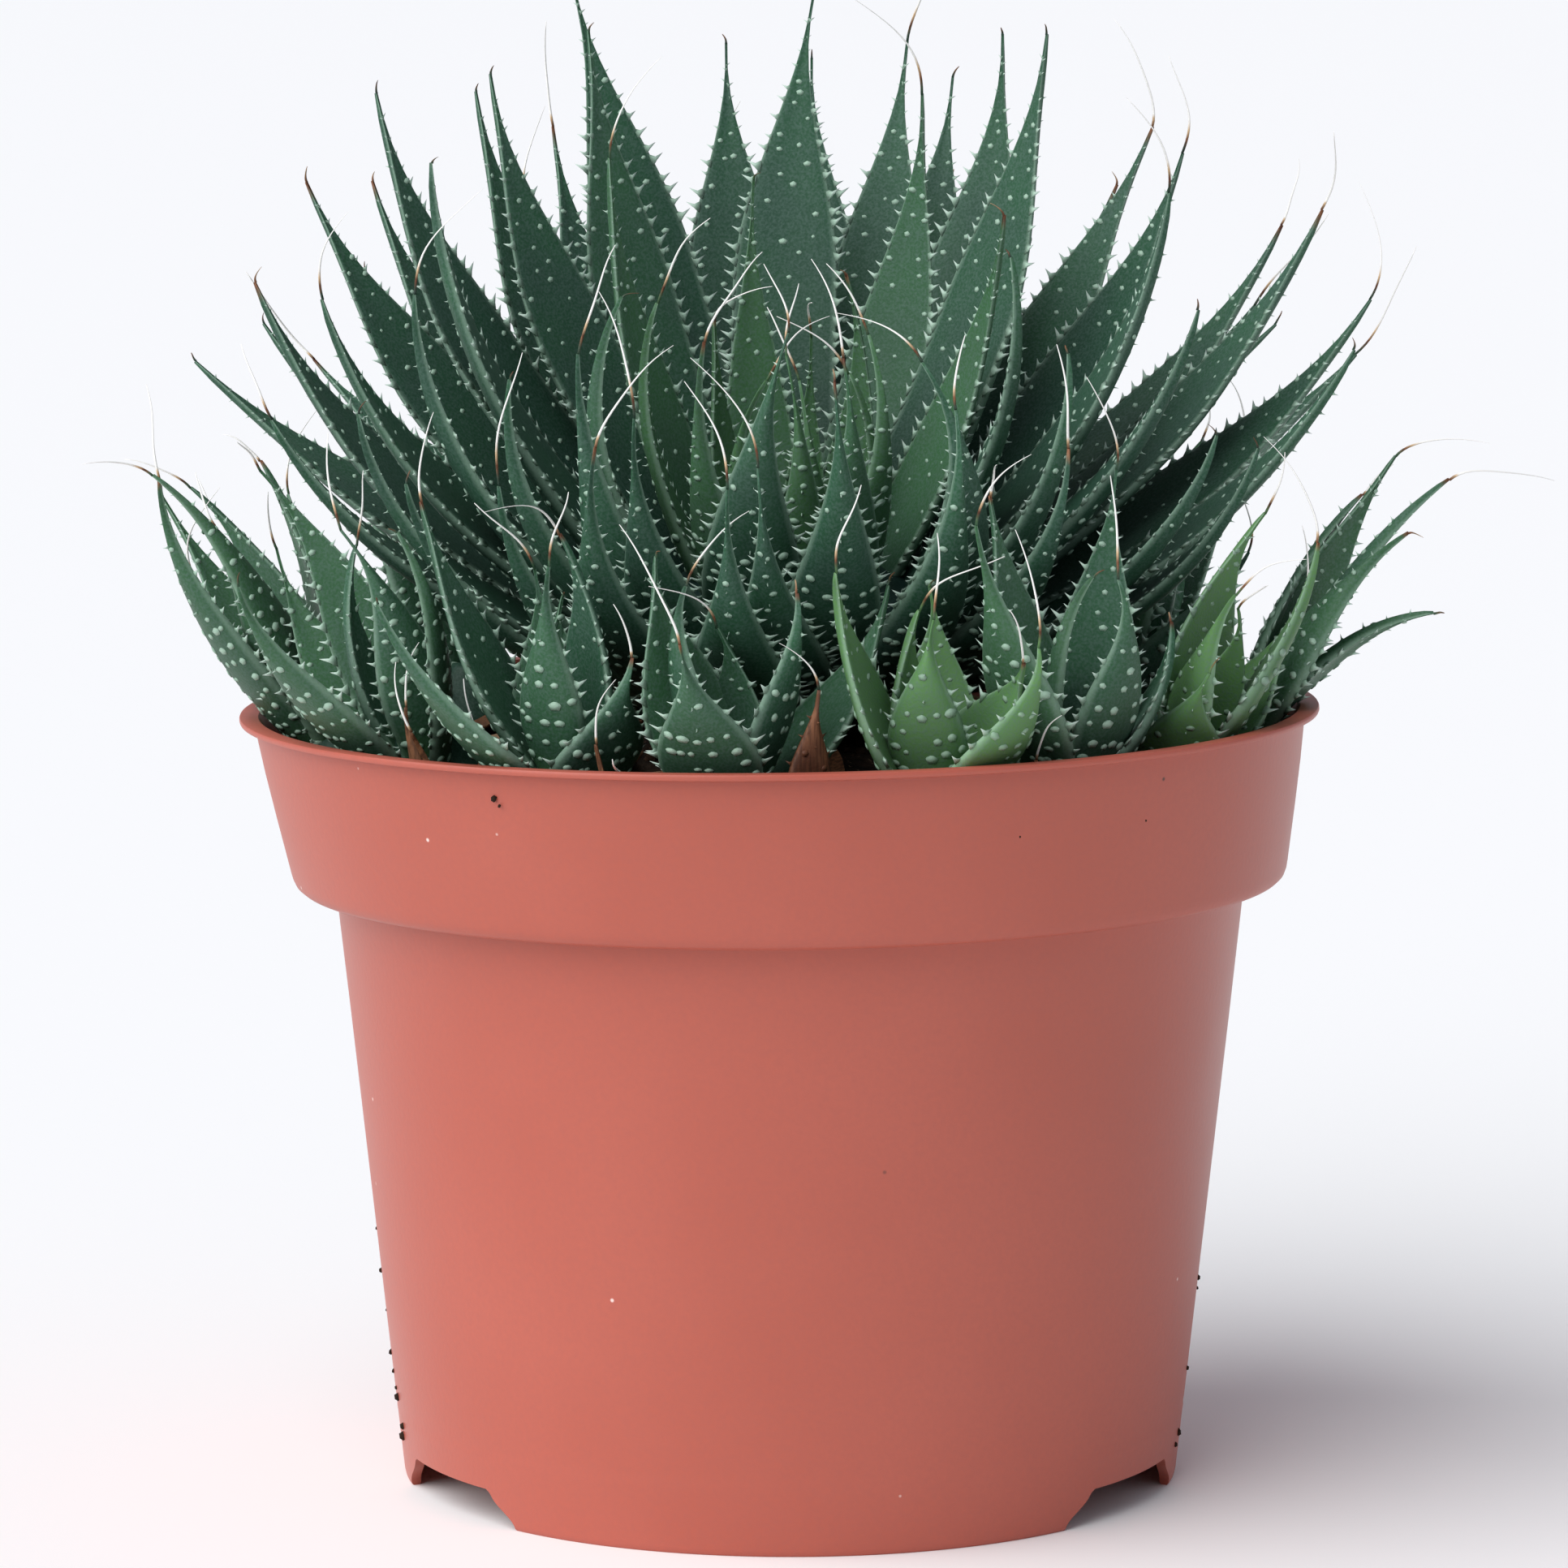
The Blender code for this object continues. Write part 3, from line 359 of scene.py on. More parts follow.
bpy.ops.mesh.primitive_ico_sphere_add(subdivisions=1, radius=1.0)
lump = bpy.context.object
draw = random.Random(3)
for vertex in lump.data.vertices:
    vertex.co *= draw.uniform(0.72, 1.2)
lump_points, lump_triangles = read_master(lump)

crumbs = new_heap()


def add_lump(turn, shape, size, spot, kind):
    """Adds one lump to the crumbs. Its kind, from 0 to 1, picks its colour."""
    stretch = np.array(turn) * (np.array(shape) * size * MM)
    marks = np.tile((kind, 0.0, 0.0, 1.0), (1, len(lump_points), 1))
    add_copies(crumbs, (lump_points @ stretch.T + np.array(spot))[None], lump_triangles, marks)


for i in range(CRUMBS):
    reach = CRUMB_SPREAD * math.sqrt(draw.random())
    spot = POT_AXIS + outward(draw.uniform(0.0, 360.0)) * reach * MM
    spot.x -= COLLAR_LEAN * SOIL_OVER_STEP * MM
    size = CRUMB_SIZE + CRUMB_SIZE_MORE * draw.random() ** 3
    spot.z = (soil_height(reach) + size * CRUMB_LIFT) * MM
    angle = draw.uniform(0.0, 6.28)
    turn = Matrix.Rotation(angle, 3, Vector((draw.random(), draw.random(), draw.random() + 0.1)))
    shape = (1.0, draw.uniform(0.5, 1.0), draw.uniform(0.4, 0.9))
    add_lump(turn, shape, size, spot, draw.random())
for azimuth, height, size in POT_CRUMBS:
    wall = COLLAR_RADIUS
    if height < STEP_HEIGHT:
        wall = FOOT_RADIUS + (BODY_TOP_RADIUS - FOOT_RADIUS) * height / STEP_HEIGHT
    spot = POT_AXIS + outward(azimuth) * (wall + CLING_GAP) * MM
    spot.x -= COLLAR_LEAN * max(0.0, height - STEP_HEIGHT) * MM
    spot.z = height * MM
    turn = Matrix.Rotation(draw.uniform(0.0, 6.28), 3, "Z")
    add_lump(turn, (0.6, 0.6, 0.8), size, spot, 0.2 * draw.random())

crumb_finish, node, mix, between, give = new_material("peat crumbs and grit")
place = node("ShaderNodeTexCoord").outputs["Object"]
growth = node("ShaderNodeAttribute", attribute_name="growth")
kind = node("ShaderNodeSeparateColor", {"Color": growth.outputs["Color"]}).outputs[0]
clod = node("ShaderNodeTexNoise", {"Vector": place, "Scale": 1500.0, "Detail": 3.0}).outputs[0]
colour = mix(between(kind, 0.0, 0.9), (0.020, 0.012, 0.008, 1.0), (0.085, 0.046, 0.026, 1.0))
colour = mix(between(kind, 0.955, 0.965), colour, (0.52, 0.47, 0.38, 1.0))
colour = mix(between(clod, 0.4, 0.6, 0.0, 0.4), colour, (0.03, 0.02, 0.013, 1.0))
give("Base Color", colour)
give("Roughness", 0.92)
give("Specular IOR Level", 0.2)
loose = heap_object("peat_crumbs", crumbs, crumb_finish)
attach(loose, "root")

# Leaves. A fleshy wedge, slightly hollow above and round below, with a row of pale horny teeth down each
# margin, pale tubercles in cross rows on its back and a dry bristle at its tip. Blade, tooth, tubercle and
# bristle are each modelled once, and every leaf bends its own copies of them along its own middle line.
BLADE_SIDES = 24
BLADE_RINGS = 26
BRISTLE_SIDES = 6
BRISTLE_RINGS = 13
TAPER_SHARE = 0.66
TAPER_LENGTH = 33.0  # millimetres over which a long leaf narrows to its tip
TAPER_POWER = 2.15
SOLID_TAPER_POWER = 1.35  # the solids' leaves have slightly fuller tips
ROOT_WIDTH = 0.60
FULL_WIDTH_AT = 0.34
TIP_DEPTH = 0.30
DEPTH_POWER = 0.7
HOLLOW = 0.16
HOOK_START = 0.62  # share of a leaf's length past which its tip hooks in
BROWN_TIP = 0.33  # how dry a leaf is at its very tip
GREEN_TIP = 0.05
BROWN_CHANCE = 0.4
LEAST_HALF_WIDTH = 0.16
RIM = (0.30, 0.22)  # height of the raised margin: at most this, or this share of the leaf's depth
KEELED = (0.35, 0.95)  # shares of the length between which the round back turns into a keel
BARE_ENDS = (1.5, 2.2)  # millimetres of margin without teeth at the root and at the tip
TOOTH_STEP = 1.8  # millimetres of margin from tooth to tooth
TOOTH_HEIGHT = (0.68, 0.24, 1.6)  # at no width, what half the leaf's width adds, and the most
TOOTH_SHAPE = (0.75, 0.95, 1.0)  # thickness, width and height, as shares of the height
TOOTH_DRAW = (0.75, 1.2)
ROW_STEP = 2.1  # millimetres from one cross row of tubercles to the next
ROW_DENSITY = (0.46, 0.58)  # tubercles in a row for each millimetre across the back
UPPER_DENSITY = 0.05  # tubercles for each square millimetre of the upper face
TUBERCLE_SPAN = (0.34, 0.62)
KEEL_TEETH = (0.60, 0.93)  # share of the length where the keel has small teeth
KEEL_STEP = 2.6
BRISTLE_THICKNESS = (0.11, 0.045)  # what its foot has more than its end, and its end
LONG_BRISTLE = 3.0  # millimetres; a shorter one is the stump of a bristle that broke off


def cut_lengthwise(obj, cuts):
    """Cuts the edges that run the whole way along z, so that the piece can bend."""
    bpy.ops.object.mode_set(mode="EDIT")
    bpy.ops.mesh.select_mode(type="EDGE")
    bpy.ops.mesh.select_all(action="DESELECT")
    bpy.ops.object.mode_set(mode="OBJECT")
    for side in obj.data.edges:
        low, high = (obj.data.vertices[i].co for i in side.vertices)
        side.select = abs(low.z - high.z) > 0.5
    bpy.ops.object.mode_set(mode="EDIT")
    bpy.ops.mesh.subdivide(number_cuts=cuts)
    bpy.ops.object.mode_set(mode="OBJECT")


bpy.ops.mesh.primitive_cylinder_add(vertices=BLADE_SIDES, radius=1.0, depth=1.0, end_fill_type="TRIFAN")
blade = bpy.context.object
cut_lengthwise(blade, BLADE_RINGS)
blade_points, blade_triangles = read_master(blade)
blade_round = np.arctan2(blade_points[:, 1], blade_points[:, 0])
blade_share = blade_points[:, 2] + 0.5
blade_reach = np.hypot(blade_points[:, 0], blade_points[:, 1])

bpy.ops.mesh.primitive_cone_add(vertices=5, radius1=0.5, depth=1.0, location=(0.0, 0.0, 0.5))
tooth = bpy.context.object
bpy.ops.object.transform_apply(location=True)
cut_lengthwise(tooth, 1)
for vertex in tooth.data.vertices:
    if 0.2 < vertex.co.z < 0.8:
        vertex.co.x *= 0.70
        vertex.co.y *= 0.62
        vertex.co.z -= 0.10
    vertex.co.x *= 0.40
    vertex.co.y += 0.28 * vertex.co.z**2
tooth_points, tooth_triangles = read_master(tooth)

bpy.ops.mesh.primitive_ico_sphere_add(subdivisions=1, radius=1.0)
tubercle = bpy.context.object
tubercle.data.transform(Matrix.Rotation(0.3, 4, "Z"))
tubercle_points, tubercle_triangles = read_master(tubercle)

bpy.ops.mesh.primitive_cylinder_add(vertices=BRISTLE_SIDES, radius=1.0, depth=1.0, end_fill_type="TRIFAN")
bristle = bpy.context.object
cut_lengthwise(bristle, BRISTLE_RINGS)
bristle_points, bristle_triangles = read_master(bristle)


def leaf_line(leaf, share):
    """A leaf's middle line at an array of shares of its length: points, and the ways along, to the side and
    to the upper face, in its rosette's frame. The line is an arc from tilt_root to tilt_tip."""
    start = math.radians(leaf["tilt_root"])
    turn = math.radians(leaf["tilt_tip"]) - start
    turn = 0.001 if abs(turn) < 0.001 else turn
    share = np.asarray(share, float)[:, None]
    now = start + turn * share
    away = np.array(outward(leaf["azimuth"]))
    up = np.array((0.0, 0.0, 1.0))
    side = np.cross(up, away)
    run = leaf["length"] * (math.cos(start) - np.cos(now)) / turn
    rise = leaf["length"] * (np.sin(now) - math.sin(start)) / turn
    drift = leaf["bend"] * leaf["length"] * share * share
    along = away * np.sin(now) + up * np.cos(now)
    inner = up * np.sin(now) - away * np.cos(now)
    late = np.maximum(0.0, share - HOOK_START) / (1.0 - HOOK_START)
    hook = leaf["hook"] * late * late
    drift = drift + leaf["stray"] * late * late
    points = np.array(leaf["root"]) + (away * run + up * rise + side * drift + inner * hook) * MM
    lean_in = 2.0 * leaf["hook"] * late / ((1.0 - HOOK_START) * leaf["length"])
    along, inner = along + inner * lean_in, inner - along * lean_in
    along /= np.linalg.norm(along, axis=1, keepdims=True)
    inner /= np.linalg.norm(inner, axis=1, keepdims=True)
    side = np.broadcast_to(side, along.shape)
    twist = math.radians(leaf["twist"]) * share
    turned_side = side * np.cos(twist) + np.cross(along, side) * np.sin(twist)
    turned_inner = inner * np.cos(twist) + np.cross(along, inner) * np.sin(twist)
    return points, along, turned_side, turned_inner


def leaf_width(leaf, share, power=TAPER_POWER):
    tapered = min(TAPER_SHARE, TAPER_LENGTH / leaf["length"])
    taper = np.sin(math.pi / 2.0 * np.minimum(1.0, (1.0 - share) / tapered)) ** power
    return leaf["width"] * taper * (ROOT_WIDTH + (1.0 - ROOT_WIDTH) * smoothstep(0.0, FULL_WIDTH_AT, share))


def leaf_depth(leaf, share):
    return TIP_DEPTH + leaf["depth"] * (1.0 - share) ** DEPTH_POWER


def leaf_surface(leaf, share, angle, reach=1.0):
    """Points of a leaf's skin. Angle 0 and 180 degrees are its margins, 90 the middle of its upper face and
    270 its keel; the back is round low down and keeled towards the tip."""
    share = np.clip(np.asarray(share, float), 0.0, 1.0)
    points, _along, side, inner = leaf_line(leaf, share)
    half = np.maximum(leaf_width(leaf, share) / 2.0, LEAST_HALF_WIDTH)
    depth = leaf_depth(leaf, share)
    across = np.cos(angle)
    lift = np.abs(np.sin(angle))
    keeled = smoothstep(*KEELED, share)
    below = -depth * lift ** (0.72 + 0.5 * keeled)
    rim = np.minimum(RIM[0], depth * RIM[1])
    above = rim * (1.0 - np.abs(across) ** 6) - (HOLLOW * depth * (1.0 - keeled) + rim) * lift**2
    height = np.where(np.sin(angle) < 0.0, below, above)
    return points + (side * (half * across * reach)[:, None] + inner * (height * reach)[:, None]) * MM


def frames_on(leaf, share, angle):
    """Point, outward normal and way towards the tip on the skin, for what grows on it."""
    here = leaf_surface(leaf, share, angle)
    ahead = leaf_surface(leaf, np.minimum(share + 0.01, 1.0), angle)
    ahead = ahead - leaf_surface(leaf, share - 0.01, angle)
    ahead /= np.linalg.norm(ahead, axis=1, keepdims=True)
    beside = leaf_surface(leaf, share, angle + 0.08) - leaf_surface(leaf, share, angle - 0.08)
    normal = np.cross(beside, ahead)
    normal /= np.linalg.norm(normal, axis=1, keepdims=True)
    return here, normal, ahead


def set_on(master, here, ways, sizes):
    """Copies of a master's points at here, with its x, y and z axes turned to ways and scaled by sizes."""
    scaled = master[None] * sizes[:, None, :]
    return here[:, None, :] + np.einsum("nij,nkj->nki", ways, scaled)


def marks_of(pale, dry, tone_and_shade, young, count):
    """What the leaf skin reads at each of count points."""
    made = np.empty((count, 4))
    made[:, 0], made[:, 1], made[:, 2], made[:, 3] = pale, dry, tone_and_shade, young
    return made


def grow_blade(heap, leaf, matrix, finish, tipped=BROWN_TIP):
    """Adds a leaf's bare blade. finish has its tone, its youth, its root's youth and its dryness. The blade
    is darkened towards its root with painted shade, less where the root is young, and is lighter towards its
    tip.
    """
    tone_and_shade, young, root_youth, dead = finish
    surface = leaf_surface(leaf, blade_share, blade_round, blade_reach)
    surface = surface @ np.array(matrix.to_3x3()).T + np.array(matrix.translation)
    margin = np.abs(np.cos(blade_round)) ** 14 * 0.30
    dry_tip = smoothstep(1.0 - 1.2 / leaf["length"], 1.0, blade_share) * tipped
    # Painted shade: the blade's share of the lit colour falls towards its root, where the leaf bases sit in
    # the rosette's shadow. It falls less where the root is young, and it rises towards the tip.
    lit_share = 0.42 + 0.7 * tone_and_shade - 0.72 * (1.0 - smoothstep(0.05, 0.50, blade_share)) * (1.0 - root_youth)
    lit_share = np.clip(lit_share + 0.30 * smoothstep(0.50, 0.90, blade_share), 0.0, 1.0)
    younger = np.maximum(young, root_youth * (1.0 - smoothstep(0.0, 0.30, blade_share)))
    marks = marks_of(margin, np.maximum(dry_tip, dead), lit_share, younger, len(surface))
    add_copies(heap, surface[None], blade_triangles, marks[None])


def grow_leaf(heap, leaf, matrix, draw, finish):
    """Adds one leaf: its blade, teeth, tubercles and bristle."""
    tipped = BROWN_TIP if draw.random() < BROWN_CHANCE else GREEN_TIP
    grow_blade(heap, leaf, matrix, finish, tipped)
    turn = np.array(matrix.to_3x3())
    shift = np.array(matrix.translation)
    tone_and_shade, young, _root_youth, dead = finish
    length = leaf["length"]

    def marks(pale, dry, count):
        return marks_of(pale, dry, tone_and_shade, young, count)

    first, last = 0.05 + BARE_ENDS[0] / length, 1.0 - BARE_ENDS[1] / length
    for margin_angle, sign in ((0.0, 1.0), (math.pi, -1.0)):
        count = max(4, int(length * (last - first) / TOOTH_STEP))
        share = first + (last - first) * (np.arange(count) + 0.5) / count
        share += np.array([draw.uniform(-0.3, 0.3) for _ in range(count)]) * TOOTH_STEP / length
        here = leaf_surface(leaf, share, np.full(count, margin_angle))
        _points, along, side, inner = leaf_line(leaf, share)
        splay = np.array([draw.uniform(-0.25, 0.35) for _ in range(count)])[:, None]
        out = side * sign + along * 0.22 + inner * (0.10 + splay)
        out /= np.linalg.norm(out, axis=1, keepdims=True)
        flat = np.cross(along, out)
        flat /= np.linalg.norm(flat, axis=1, keepdims=True)
        ways = np.stack((flat, np.cross(out, flat), out), axis=2)
        half = leaf_width(leaf, share) / 2.0
        tall = np.minimum(TOOTH_HEIGHT[2], TOOTH_HEIGHT[0] + TOOTH_HEIGHT[1] * half)
        tall = tall * np.array([draw.uniform(*TOOTH_DRAW) for _ in range(count)])
        tall *= 0.55 + 0.45 * smoothstep(0.0, 0.25, share)
        sizes = tall[:, None] * np.array(TOOTH_SHAPE) * MM
        points = set_on(tooth_points, here - out * 0.25 * MM, ways, sizes)
        pale = np.broadcast_to(0.30 + 0.70 * np.clip(tooth_points[:, 2] * 1.6, 0.0, 1.0), points.shape[:2])
        add_marks = np.stack([marks(row, dead, len(row)) for row in pale])
        add_copies(heap, points @ turn.T + shift, tooth_triangles, add_marks)

    shares, angles, spans = [], [], []
    rows = int(length * 0.84 / ROW_STEP)
    for row in range(rows):
        row_share = 0.05 + row * ROW_STEP / length + draw.uniform(-0.25, 0.25) / length
        width = float(leaf_width(leaf, min(row_share, 1.0)))
        reach_down = float(leaf_depth(leaf, min(row_share, 1.0)))
        count = max(1, int((width + reach_down) * draw.uniform(*ROW_DENSITY)))
        if row_share > 0.62:
            count = 1 if row % 2 else 2
        for spot in range(count):
            across = (spot + 0.5 + 0.5 * (row % 2)) / (count + 0.5) * 2.0 - 1.0 if count > 1 else 0.0
            across += draw.uniform(-0.13, 0.13)
            if abs(across) > 0.93 or draw.random() < 0.12:
                continue
            shares.append(row_share - (1.0 - across * across) / length + draw.uniform(-0.3, 0.3) / length)
            angles.append(1.5 * math.pi + across * 1.25)
            smaller = 1.0 - 0.35 * float(smoothstep(0.5, 0.9, row_share))
            spans.append(draw.uniform(*TUBERCLE_SPAN) * smaller)
    upper = int(length * leaf["width"] * UPPER_DENSITY)
    for spot in range(upper):
        shares.append(0.10 + 0.78 * (spot + draw.random()) / upper)
        angles.append(0.5 * math.pi + (1.0 if spot % 2 else -1.0) * draw.uniform(0.05, 0.95))
        spans.append(draw.uniform(0.24, 0.42))
    shares, angles, spans = np.array(shares), np.array(angles), np.array(spans)
    here, normal, ahead = frames_on(leaf, shares, angles)
    beside = np.cross(ahead, normal)
    ways = np.stack((beside, ahead, normal), axis=2)
    longer = np.array([draw.uniform(0.95, 1.55) for _ in shares])
    sizes = np.stack((spans * longer, spans, spans * 0.36), axis=1) * MM
    points = set_on(tubercle_points, here - normal * 0.02 * MM, ways, sizes)
    pale = np.where(tubercle_points[:, 2] > 0.0, 0.60 - 0.28 * young, 0.10)
    add_marks = np.stack([marks(pale, dead, len(pale)) for _ in shares])
    add_copies(heap, points @ turn.T + shift, tubercle_triangles, add_marks)

    keel = np.arange(*KEEL_TEETH, KEEL_STEP / length)
    count = len(keel)
    here, normal, ahead = frames_on(leaf, keel, np.full(count, 1.5 * math.pi))
    ways = np.stack((np.cross(ahead, normal), ahead, normal), axis=2)
    tall = np.array([draw.uniform(0.45, 0.85) for _ in keel])
    sizes = np.stack((tall * 0.8, tall * 0.8, tall), axis=1) * MM
    points = set_on(tooth_points, here - normal * 0.1 * MM, ways, sizes)
    add_marks = np.stack([marks(0.5 + 0.5 * tooth_points[:, 2], dead, len(tooth_points)) for _ in keel])
    add_copies(heap, points @ turn.T + shift, tooth_triangles, add_marks)

    grow_bristle(heap, leaf, matrix, draw, finish, tipped)


def grow_bristle(heap, leaf, matrix, draw, finish, tipped=BROWN_TIP):
    """The dry bristle that carries the tip on, curled at random and white past its foot. A leaf that has
    none keeps a short stump."""
    turn = np.array(matrix.to_3x3())
    tone_and_shade, young, _root_youth, _dead = finish
    reach = leaf["awn"] or leaf["wisp"] or draw.uniform(0.8, 1.7)
    full = reach > LONG_BRISTLE
    share = bristle_points[:, 2] + 0.5
    base, along, side, inner = (item[0] for item in leaf_line(leaf, np.array((0.999,))))
    curl = 1.3 * leaf["awn_curl"] * reach * share**2
    sway = leaf["awn_sway"] * reach * share**2
    wave, phase = draw.uniform(0.02, 0.07) * reach, draw.uniform(0.0, 6.28)
    curl = curl + wave * np.sin(share * 5.5 + phase) * share
    sway = sway + wave * np.cos(share * 4.3 + phase) * share
    line = base + (along * (reach * share)[:, None] + inner * curl[:, None] + side * sway[:, None]) * MM
    thick = BRISTLE_THICKNESS[0] * (1.0 - share) ** 0.6 + BRISTLE_THICKNESS[1]
    round_x = bristle_points[:, 0] * thick
    round_y = bristle_points[:, 1] * thick
    points = line + (side * round_x[:, None] + inner * round_y[:, None]) * MM
    if not full:
        white_at, drier = 1.0, 0.2
    elif tipped == BROWN_TIP:
        white_at, drier = 0.16, 1.0 - tipped
    else:
        white_at, drier = 0.45, 1.0 - tipped
    dry = tipped + drier * smoothstep(0.03, white_at, share)
    marks = marks_of(0.0, dry, tone_and_shade, young, len(points))
    add_copies(heap, (points @ turn.T + np.array(matrix.translation))[None], bristle_triangles, marks[None])


def grow_core(heap, outline, matrix, tone_and_shade):
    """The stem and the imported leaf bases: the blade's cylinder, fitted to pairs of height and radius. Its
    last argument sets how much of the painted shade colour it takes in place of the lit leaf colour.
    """
    heights = np.array([height for height, _radius in outline])
    radii = np.array([radius for _height, radius in outline])
    height = heights[0] + (heights[-1] - heights[0]) * blade_share
    radius = np.interp(height, heights, radii) * blade_reach
    points = np.stack((np.cos(blade_round) * radius, np.sin(blade_round) * radius, height), axis=1) * MM
    points = points @ np.array(matrix.to_3x3()).T + np.array(matrix.translation)
    marks = np.tile((0.0, 0.0, tone_and_shade, 0.0), (1, len(points), 1))
    add_copies(heap, points[None], blade_triangles, marks)


skin, node, mix, between, give = new_material("aloe leaf")
place = node("ShaderNodeTexCoord").outputs["Object"]
growth = node("ShaderNodeAttribute", attribute_name="growth")
parts = node("ShaderNodeSeparateColor", {"Color": growth.outputs["Color"]}).outputs
pale, dry, tone_and_shade, young = parts[0], parts[1], parts[2], growth.outputs["Alpha"]
patch = node("ShaderNodeTexNoise", {"Vector": place, "Scale": 130.0, "Detail": 3.0}).outputs[0]
grain = node("ShaderNodeTexNoise", {"Vector": place, "Scale": 3300.0, "Detail": 2.0}).outputs[0]
# The skin has a lit and a shaded copy of its colour, and the shaded one is painted shade. The third channel
# of growth picks between them. It holds each leaf's own tone, darkened towards the leaf's root as painted
# shade, and the stems take the painted shade colour.
lit = mix(between(patch, 0.38, 0.66, 0.0, 0.5), (0.028, 0.104, 0.049, 1.0), (0.038, 0.082, 0.062, 1.0))
lit = mix(young, lit, (0.125, 0.280, 0.085, 1.0))
bloom = (0.115, 0.190, 0.160, 1.0)
lit = mix(between(grain, 0.38, 0.66, 0.0, 0.42), lit, bloom)
shaded = mix(between(grain, 0.38, 0.66, 0.0, 0.12), (0.007, 0.027, 0.022, 1.0), bloom)
colour = mix(tone_and_shade, shaded, lit)
colour = mix(between(pale, 0.05, 0.62, 0.0, 0.85), colour, (0.420, 0.600, 0.470, 1.0))
colour = mix(between(pale, 0.62, 1.0, 0.0, 0.9), colour, (0.600, 0.710, 0.650, 1.0))
brown = mix(between(patch, 0.35, 0.65), (0.120, 0.046, 0.024, 1.0), (0.300, 0.135, 0.065, 1.0))
threads = node("ShaderNodeMapping", {"Vector": place, "Scale": (1.0, 1.0, 0.1)}).outputs[0]
fibre = node("ShaderNodeTexNoise", {"Vector": threads, "Scale": 2400.0, "Detail": 2.0}).outputs[0]
brown = mix(between(fibre, 0.42, 0.58, 0.0, 0.7), brown, (0.055, 0.022, 0.013, 1.0))
colour = mix(between(dry, 0.04, 0.28), colour, brown)
colour = mix(between(dry, 0.34, 0.66), colour, (0.620, 0.440, 0.260, 1.0))
colour = mix(between(dry, 0.66, 0.95), colour, (0.900, 0.890, 0.850, 1.0))
give("Base Color", colour)
give("Roughness", between(patch, 0.3, 0.7, 0.44, 0.56))
give("Specular IOR Level", 0.2)
bump = node("ShaderNodeBump", {"Height": grain, "Strength": 0.35, "Distance": 0.00012})
give("Normal", bump.outputs[0])

# Main rosette. One short stem with all its leaves set round it at the golden angle, leaning a little to the
# front, so that the back leaves stand up and the front ones curl in. The rule and its seeded draws are those
# of the solids; the leaves are grown as three pieces: the heart, the middle leaves and the outer ones.
GOLDEN_ANGLE = 137.508
MAIN_LEAVES = 100
MAIN_SEED = 7
MAIN_DRESS_SEED = 21
MAIN_PLACE = POT_AXIS + Vector((0.0, 0.0, 90.0 * MM))
MAIN_LEAN = 16.0
MAIN_FIRST_AZIMUTH = 35.0
GROWN_AGE = 0.22
FACING = (-0.4, 0.8)  # cosines of azimuth between which a leaf turns from a back one to a front one
MAIN_ROOT = (1.0, 4.0)  # distance from the axis at the heart, and what age adds
MAIN_TILT = (5.0, 76.0, 0.66)  # at the heart, what age adds, and the power of age
MAIN_CURL = (18.0, 44.0)
MAIN_CURL_FRONT = 42.0
MAIN_LENGTH = (38.0, 44.0)  # at the heart, and what growth adds
MAIN_SHORTER = (21.0, 7.0)  # at the front, and at the sides
MAIN_WIDTH = (6.0, 5.8)
MAIN_DEPTH = (1.8, 1.6)
MAIN_AWN_CHANCE = 0.25
MAIN_AWN = (8.0, 14.0)
MAIN_WISP = (6.0, 12.0)  # length of a bristle that the leaf's solid doesn't have
STRAY = 2.6
MAIN_CORE = ((62.0, 5.0), (66.0, 7.0), (83.6, 7.0), (85.5, 18.0), (92.0, 22.0), (99.0, 17.0), (104.0, 6.0))
LOWEST_TILT_FRONT = 66.0
LOWEST_TILT_SIDE = 64.0
LOWEST_TILT_BACK = 74.0
STEEPEST_ROOT = 86.0
MAIN_PIECES = ("rosette_heart", "rosette_middle_leaves", "rosette_outer_leaves")
MAIN_PIECE_LEAVES = 27


def bent_out(azimuth, place, turn):
    """Matrix that leans what stands at place away from the pot's axis by turn degrees."""
    lean = Matrix.Rotation(math.radians(turn), 4, Vector((0.0, 0.0, 1.0)).cross(outward(azimuth)))
    return Matrix.Translation(place) @ lean


def has_room(leaf, matrix):
    """Whether a leaf stays over the soil and the offsets: a lower one isn't grown."""
    tilt = math.radians((leaf["tilt_root"] + leaf["tilt_tip"]) / 2.0)
    way = outward(leaf["azimuth"]) * math.sin(tilt) + Vector((0.0, 0.0, math.cos(tilt)))
    way = matrix.to_3x3() @ way
    ahead = math.cos(math.atan2(way.x, -way.y))
    to_middle = LOWEST_TILT_FRONT if ahead > 0.0 else LOWEST_TILT_BACK
    return math.degrees(math.acos(way.z)) < LOWEST_TILT_SIDE + (to_middle - LOWEST_TILT_SIDE) * abs(ahead)


